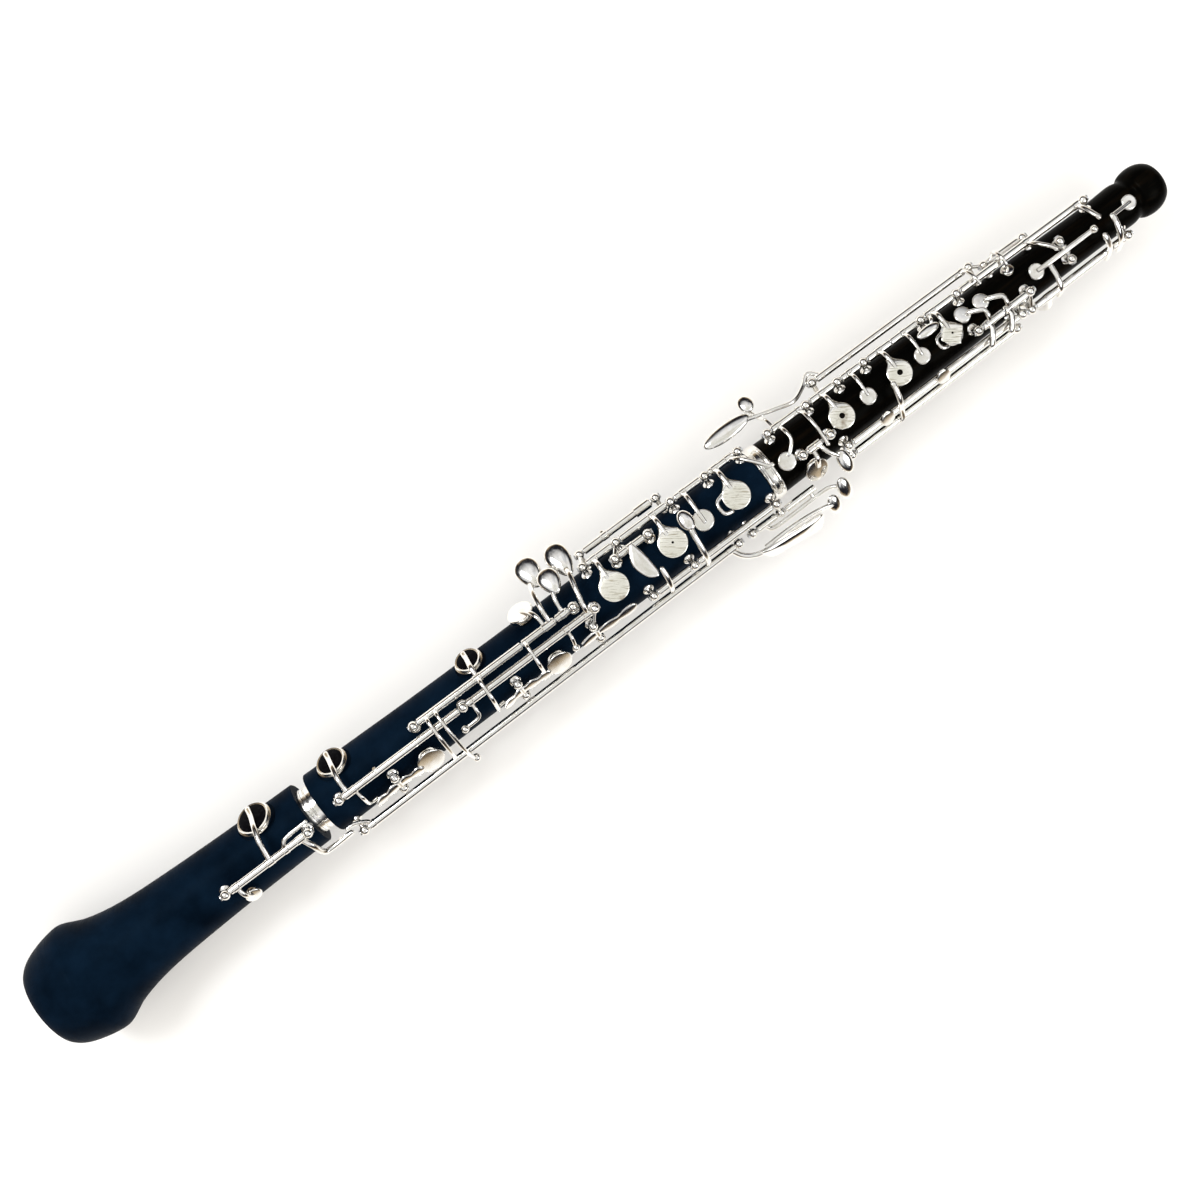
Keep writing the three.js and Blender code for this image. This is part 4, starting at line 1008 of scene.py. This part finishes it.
add_key("low_b_flat_key", "centre", 214.7, 278, [
    stem(216, [(216, -14, 19.6), (215, -27, 19.4), (208.4, -30, 19)], 1.8),
    ball((207.4, -30, 19), 1.8),
    stem(265.8, [(265.6, -16, 19.6), (264.8, -30, 18.8)], 1.8),
    ball((264.6, -33, 18.6), 1.7),
    stem(276.6, [(277.4, 8, 21.4), (279, 26, 22.4), (280.6, 44, 23), (281, 58, 22.6)], 2.4),
    touch((281.2, 67.6, 24.6), 20, 16.5, 10.4, 0.3),
])
add_key("low_c_key", "inner", 193.6, 246.9, [
    arm([(197.6, 14.3, 19.6), (197.5, 4, 22.2), (197.4, -14, 22.9), (197, -40, 21.6),
        (196.6, -58, 21)], 2),
    arm([(224.4, 14.3, 19.6), (224.4, 4, 22.2), (224.2, -14, 22.7), (223.4, -36, 19.4),
        (224, -42, 16.2), (227.4, -42, 15.6)], 2),
    arm([(202, 14.3, 19.6), (202, 4, 22.2), (202, -14, 23), (202, -50, 23.2),
        (202.4, -78, 23.8)], 1.8),
    ball((203, -81, 23.8), 1.9),
], opened=6.5, closed=[
    stem(224.4, [(224.6, 30, 18.6), (224.9, 44, 16.6), (225, 54, 15.6), (225, 69, 16.3)], 2.6),
    cup(225, 53, 6.4, 2.8, dark=True),
])
add_key("d_sharp_key", "inner", 247.6, 264.2, [
    arm([(248.8, 14.3, 19.6), (248.6, 4, 22.2), (248.2, -14, 22.4), (247.8, -32, 20.2)], 1.8),
    stem(262, [(262.6, 32, 22), (263.6, 52, 23.4), (265.4, 70, 24.4)], 2.4),
    touch((267.8, 77, 26.6), 20, 15, 10.8, 0.3),
], opened=6.5, closed=[
    stem(259.4, [(259, 30, 20), (257.6, 44, 19.2), (255.8, 56, 17.4), (254.8, 60, 16.4)], 2.2),
    cup(254.6, 61, 6.1, 3),
])
add_key("low_c_sharp_key", "inner", 264.9, 271.1, [
    stem(268.6, [(269.4, 30, 21.2), (271, 43, 22.8)], 2.2),
    touch((272.4, 51, 23.6), 20, 12.5, 9.2, 0.3),
])
add_rocker("low_b_vent_key", "low_b_rocker", [
    arm([(159.4, -42, 19.6), (163, -42, 18.6), (171.7, -42, 17.6), (178, -42, 18),
        (184, -42, 18.6)], 3.2, 1.6, wave=(4, 0.7)),
    cup(188, -42, 6.3, 2.6, lift=1.4),
])
add_rocker("low_c_vent_key", "low_c_rocker", [
    arm([(225.8, -42, 19.2), (229, -42, 18.2), (235.8, -42, 17), (243, -42, 17.6),
        (250.6, -42, 18.2)], 3.2, 1.6, wave=(4, 0.7)),
    cup(255.4, -42, 6, 2.6, lift=1.4),
])
add_rocker("side_blade_key", "side_rocker", [
    arm([(267.4, -40, 17.6), (275.6, -40, 17), (282, -40, 17.4), (288, -38, 18),
        (296, -36, 18.4)], 3.2, 1.5, wave=(3, 0.6)),
])
add_key("low_b_flat_lever", "long", 150, 344.5, radius=1.7, resting=[
    stem(152, [(150.6, -62, 18.8), (146, -55, 17.2), (141.6, -54, 17.2)], 2),
    stem(342.6, [(345.4, -72, 23.6), (350, -74, 26.6), (355, -73, 28)], 3),
    plate((366.8, -73.6, 29.4), -48, [(-15.5, 5.2), (-12, -2.6), (15, -8.2),
        (17.4, 0.8)], crown=1.1),
    arm([(355, -67, 27.4), (368, -65.5, 27.4), (378, -66, 28), (385, -67.5, 28.8),
        (390, -71.5, 30)], 3.4, 2.4),
    touch((390.2, -73, 29.2), -34, 10.4, 6.4),
])
add_key("d_key", "main_low", 289.5, 302.1, opened=-7, closed=[
    stem(293, [(292.8, 38, 18.8), (292.5, 20, 17.2), (292.5, 6, 16)], 2.4),
    finger_plate(292.5, 0.7, 6.45, 8.6),
])
add_key("e_key", "main_low", 307.1, 330.9, opened=-7, closed=[
    stem(323.6, [(323.4, 38, 18.8), (323.2, 20, 17.2), (323.2, 6, 16)], 2.4),
    finger_plate(323.2, 0.7, 6.45, 8.6, vent=0.55),
])
add_key("f_vent_key", "main_low", 335.9, 349.1, opened=-7, closed=[
    stem(340, [(339.8, 38, 18.6), (339.4, 16, 17), (339.3, -6, 16)], 2.2),
    cup(339.3, 0, 4.7, 2.6),
])
add_key("f_sharp_key", "main_low", 354.1, 366.5, [
    stem(364, [(367.4, 38, 19.6), (372, 20, 19.2), (375, 8, 19), (377.4, 7, 19)], 2),
], opened=-7, closed=[
    stem(357, [(356.8, 38, 18.6), (356.6, 20, 17.2), (356.6, 6, 16)], 2.4),
    finger_plate(356.6, 0.5, 6.2, 8.4),
    arm([(352, 13, 16.4), (348.4, 8, 17), (347.4, -2, 17.2), (348.4, -12, 17),
        (352, -16, 16.2)], 1.8),
])
add_key("f_key", "leaf", 302.3, 314.7, [
    stem(308.2, [(308.2, 22, 19.4), (308.2, 8, 19.6)], 2.4),
    plate((307.8, 8, 19.6), 8, LEAF),
])
add_key("e_flat_trill_key", "outer_low", 291.9, 327.5, [
    bar((319, 78, 20), (326.8, 78, 20), 2.3),
    stem(303, [(303, 84, 22.4)], 2.4),
])
add_key("left_f_key", "left_low", 306.5, 323.1, [
    arm([(312, -58, 18.8), (312.2, -44.5, 19.8), (312.8, -28, 19.6), (313, -12, 19.4)], 2.6),
])
add_key("forked_f_key", "left_low", 328.1, 366.5, [
    arm([(331.2, -57, 18.8), (331.4, -44.5, 19.8), (331.6, -28, 20), (332, -6, 20.2),
        (332.8, 6, 20)], 2.8),
    touch((333, 15, 19.6), 14, 9.6, 6.6),
])
add_key("left_e_flat_lever", "lever", 357.1, 367.1, [
    arm([(361, -71, 19.4), (364, -75, 22), (378, -75, 22.2), (391, -74, 22.2), (395.6, -72, 24),
        (397.6, -71, 26.6)], 2.4),
    bar((372.4, -70, 18.8), (388, -70, 18.8), 1.6),
    arm([(385, -70, 19), (385, -74, 22.2)], 2.4),
    touch((397.8, -72, 26.4), -32, 12, 6.6),
])
add_key("c_sharp_trill_key", "main_high", 386.5, 402.1, [
    stem(389.6, [(390, 36, 17.6), (389.8, 20, 17.2), (387, 9, 16.6), (384.4, 2, 15.8)], 1.8),
    cup(383.1, -3, 4.1, 2.6),
    stem(400.7, [(400.7, 34, 19.4), (400.7, 10, 20), (400.7, -17, 19.8)], 1.8),
    stem(387.8, [(387.6, 68, 19.2), (386.8, 82, 20.4), (385.4, 89, 25), (384.8, 87, 30.4)], 1.8),
    touch((385.2, 84, 28.6), 25, 8.4, 7),
])
add_key("a_key", "main_high", 407.1, 418.9, opened=-8, closed=[
    stem(412.9, [(412.9, 36, 17), (412.9, 18, 15.6), (412.9, 6, 14.6)], 2.2),
    finger_plate(412.9, 0, 5.6, 7.8, height=3, vent=1.25, overlap=0.1),
])
add_key("first_vent_key", "main_high", 423.9, 433.1, opened=-8, closed=[
    stem(427.9, [(427.8, 36, 17), (427.4, 14, 15.6), (427.3, 0, 14.6)], 1.8),
    cup(427.3, 0, 3.75, 2.4),
])
add_key("g_key", "main_high", 438.1, 449.9, opened=-8, closed=[
    stem(444, [(444, 36, 16.8), (444, 18, 15.4), (444, 6, 14.2)], 2.2),
    finger_plate(444, 0, 5.5, 7.6, height=3, vent=1.25, overlap=0.1),
])
add_key("second_vent_key", "main_high", 450.5, 464.1, opened=-8, closed=[
    stem(457, [(456.9, 36, 16.6), (456.6, 14, 15), (456.5, 0, 13.8)], 1.8),
    cup(456.5, 0, 3.7, 2.4),
])
add_key("half_hole_key", "main_high", 469.1, 483.5, [
    stem(470.4, [(469, 38, 18), (467.6, 30, 17.6)], 1.8),
    touch((464.6, 27, 16.8), 20, 4.6, 11, 0, 1.2),
], opened=-8, closed=[
    stem(472.8, [(472.6, 36, 16.6), (472.4, 18, 15), (472.4, 6, 13.8)], 2.2),
    finger_plate(472.4, 0, 5, 7.4, height=2.6, overlap=-0.4),
    diamond((472.4, 0, seat(472.4) + 2.5), 6, 0.5),
    arm([(468.4, 11, 14.4), (465.4, 7, 15), (464.4, -2, 15.2), (465.4, -11, 15),
        (468.4, -14, 14.2)], 1.6),
])
add_key("second_octave_lever", "main_high", 488.5, 553, [
    stem(523.7, [(525, 38, 16.8), (528, 20, 17.8), (530, 8, 18.2)], 2),
    stem(551.6, [(551.8, 38, 16), (552.6, 18, 16.6), (553.6, 7, 16.8)], 2.4),
])
add_key("d_trill_key", "outer_high", 416.5, 496.5, [
    stem(495, [(495, 64, 20.4), (495.4, 48, 19.2), (495.6, 36, 17)], 1.8),
    arm([(418.8, 80, 19.9), (415, 84, 23.2), (410, 80, 20.4), (402, 68, 19), (394, 70, 20.8),
        (387, 74.5, 22.4), (380, 77.5, 24.2)], 2.4),
    touch((371.4, 79, 24.4), 20, 7.6, 24),
])
add_key("side_octave_key", "side_octave", 507.5, 523.5, [
    arm([(510, 76, 16.6), (510, 64, 19.6), (510, 50, 19.2), (510, 40, 17), (510, 37, 13.2)], 1.8),
    cup(510, 38, 2.9, 1.6, lift=1),
])
add_key("g_sharp_key", "g_sharp", 392.3, 399.1, opened=-8, closed=[
    stem(394.4, [(394, -24, 17.6), (393, -42, 16)], 2.4),
    cup(392.3, -47, 5.6, 2.6),
    stem(397.6, [(399, -24, 18.8), (402, -38, 19), (403.4, -48, 18.8)], 2.2),
    touch((403.4, -51, 19.2), -28, 11.5, 6.4),
])
add_key("left_trill_lever", "left_high", 411.7, 501.5, [
    arm([(436.4, -58, 18.4), (436.8, -44, 17.6), (437.2, -28, 18.6), (437.8, -10, 19),
        (438.4, 0, 18.9)], 3),
    cup(429.4, -42, 3.6, 1.4, rho=17.4),
    cup(459.6, -42, 3.6, 1.4, rho=17.2),
])
add_key("left_outer_lever", "left_outer", 411.7, 497.5, [
    stem(435.6, [(435.6, -60, 19.6)], 2.2),
])
add_key("c_trill_key", "trill", 485.1, 496, [
    stem(489.2, [(489.2, -6, 17.2), (489, 3, 16.8), (486.4, 9, 15.8), (483, 16, 14.2)], 2.4),
    cup(481.9, 18.5, 3.7, 2.4),
    stem(488.4, [(487.6, -28, 18.2), (485, -38, 19.8), (483.4, -46, 20.6)], 2.6, fan=4),
])
add_key("b_trill_key", "trill", 496.6, 508.5, [
    stem(499.2, [(499.2, -6, 17), (499, 3, 16.6), (496.2, 9, 15.6), (492.8, 16, 14)], 2.4),
    cup(491.7, 18, 3.7, 2.4),
    stem(498.6, [(498, -28, 18.2), (495.6, -38, 19.8), (494, -46, 20.6)], 2.6, fan=4),
])
add_key("thumb_octave_key", "octave", 511.9, 553.8, [
    arm([(524.6, -70, 15.8), (525, -54, 16.2), (525.4, -36, 14.6), (525.8, -20, 12.6),
        (525.8, -4, 12.3)], 2.8, 2),
    arm([(551.2, -70, 15.6), (551.4, -55, 15.9), (551.6, -40, 16.8), (551, -22, 17.6),
        (550.4, -12, 17.6)], 2.8, 2),
    stem(519, [(519, -80, 16.4), (519, -110, 16), (519, -140, 16), (519, -172, 16.2)], 3),
    touch((519, 180, 15.4), 180, 10, 15, 0, 1.6),
])
add_key("second_octave_key", "octave", 554.5, 560.7, [
    arm([(557.6, -70, 15.4), (557.9, -54, 15.6), (558.4, -36, 16), (558.6, -12, 16.2),
        (559, 4, 15.8)], 3, 2.2),
    arm([(558.4, 0, 15.8), (564, 0, 14.6), (570.4, 0, 13.4)], 2),
    cup(569.8, 0, 3.4, 2.4),
])
add_rocker("first_octave_key", "octave_rocker", [
    arm([(519.6, 0, 13.4), (525, 0, 14.8), (534.4, 0, 15.4), (542, 0, 15),
        (548.6, 0, 14.6)], 2.4, 1.8),
    cup(519.1, 0, 3.6, 2.4),
    ball((549.4, 0, 14.6), 1.7),
])


# ---- floor, light and camera ----
def add_floor():
    mesh = bpy.data.meshes.new("floor")
    side = 6
    mesh.from_pydata([(-side, -side, 0), (side, -side, 0), (side, side, 0), (-side, side, 0)],
                     [], [(0, 1, 2, 3)])
    mesh.materials.append(MATERIALS["floor"])
    floor = bpy.data.objects.new("floor", mesh)
    bpy.context.scene.collection.objects.link(floor)


def add_light(name, place, target, size, power, colour):
    """A square soft box, in metres and watts."""
    light = bpy.data.lights.new(name, "AREA")
    light.shape = "SQUARE"
    light.size = size
    light.energy = power
    light.color = colour
    box = bpy.data.objects.new(name, light)
    box.location = place
    box.rotation_euler = (Vector(target) - Vector(place)).to_track_quat("-Z", "Y").to_euler()
    bpy.context.scene.collection.objects.link(box)


def add_world():
    """A pale studio: a plain backdrop for the camera, an even dome that lights the
    surfaces, and bright, dark and warm bands for the metal to mirror."""
    world = bpy.data.worlds.new("studio")
    bpy.context.scene.world = world
    world.use_nodes = True
    world.node_tree.nodes.clear()
    n = Nodes(world.node_tree, "Generated")
    rise = n.add("SeparateXYZ", n.place).outputs["Z"]
    patches = n.add("TexNoise", Vector=n.place, Scale=3.2, Detail=2).outputs["Fac"]
    drift = n.math("MULTIPLY_ADD", patches, 0.7, -0.37)
    bands = n.ramp(n.math("ADD", rise, drift), [
        (0.0, (0.62, 0.50, 0.34)), (0.12, (0.20, 0.15, 0.10)), (0.24, (0.010, 0.010, 0.014)),
        (0.48, (0.016, 0.016, 0.022)), (0.62, (0.55, 0.56, 0.58)), (0.82, (0.98, 0.98, 1.0)),
        (1.0, (0.70, 0.70, 0.65)),
    ])
    mirrored = n.add("Background", bands, 1.0).outputs[0]
    dome = n.add("Background", (1.0, 0.965, 0.915, 1), 1.12).outputs[0]
    backdrop = n.add("Background", (0.93, 0.93, 0.925, 1)).outputs[0]
    ray = n.add("LightPath").outputs
    lit = n.add("MixShader", ray["Is Diffuse Ray"], mirrored, dome).outputs[0]
    seen = n.add("MixShader", ray["Is Camera Ray"], lit, backdrop).outputs[0]
    n.add("OutputWorld", seen)


CAMERA_PLACE = Vector((-39.5, 53.5, 637.4)) * MM
CAMERA_AIM = Vector((-10.2, -1.6, 25.84)) * MM
CAMERA_ROLL = math.radians(36.854)
CAMERA_LENS = 42.93


def add_camera():
    ahead = (CAMERA_AIM - CAMERA_PLACE).normalized()
    along = Vector((1, 0, 0))
    along = (along - ahead * along.dot(ahead)).normalized()
    across = along.cross(ahead)
    right = along * math.cos(CAMERA_ROLL) - across * math.sin(CAMERA_ROLL)
    up = along * math.sin(CAMERA_ROLL) + across * math.cos(CAMERA_ROLL)
    lens = bpy.data.cameras.new("camera")
    lens.lens = CAMERA_LENS
    lens.clip_start = 0.01
    camera = bpy.data.objects.new("camera", lens)
    turn = Matrix((right, up, -ahead)).transposed()
    camera.matrix_world = Matrix.Translation(CAMERA_PLACE) @ turn.to_4x4()
    bpy.context.scene.collection.objects.link(camera)
    bpy.context.scene.camera = camera


add_floor()
add_light("key", (-0.5, 0.75, 1.15), (0, 0, 0), 0.5, 9, (0.95, 0.975, 1))
add_light("fill", (0.7, -0.9, 1.0), (0, 0, 0), 0.7, 5, (0.93, 0.965, 1))
add_world()
add_camera()
bpy.context.scene.view_settings.view_transform = "Standard"
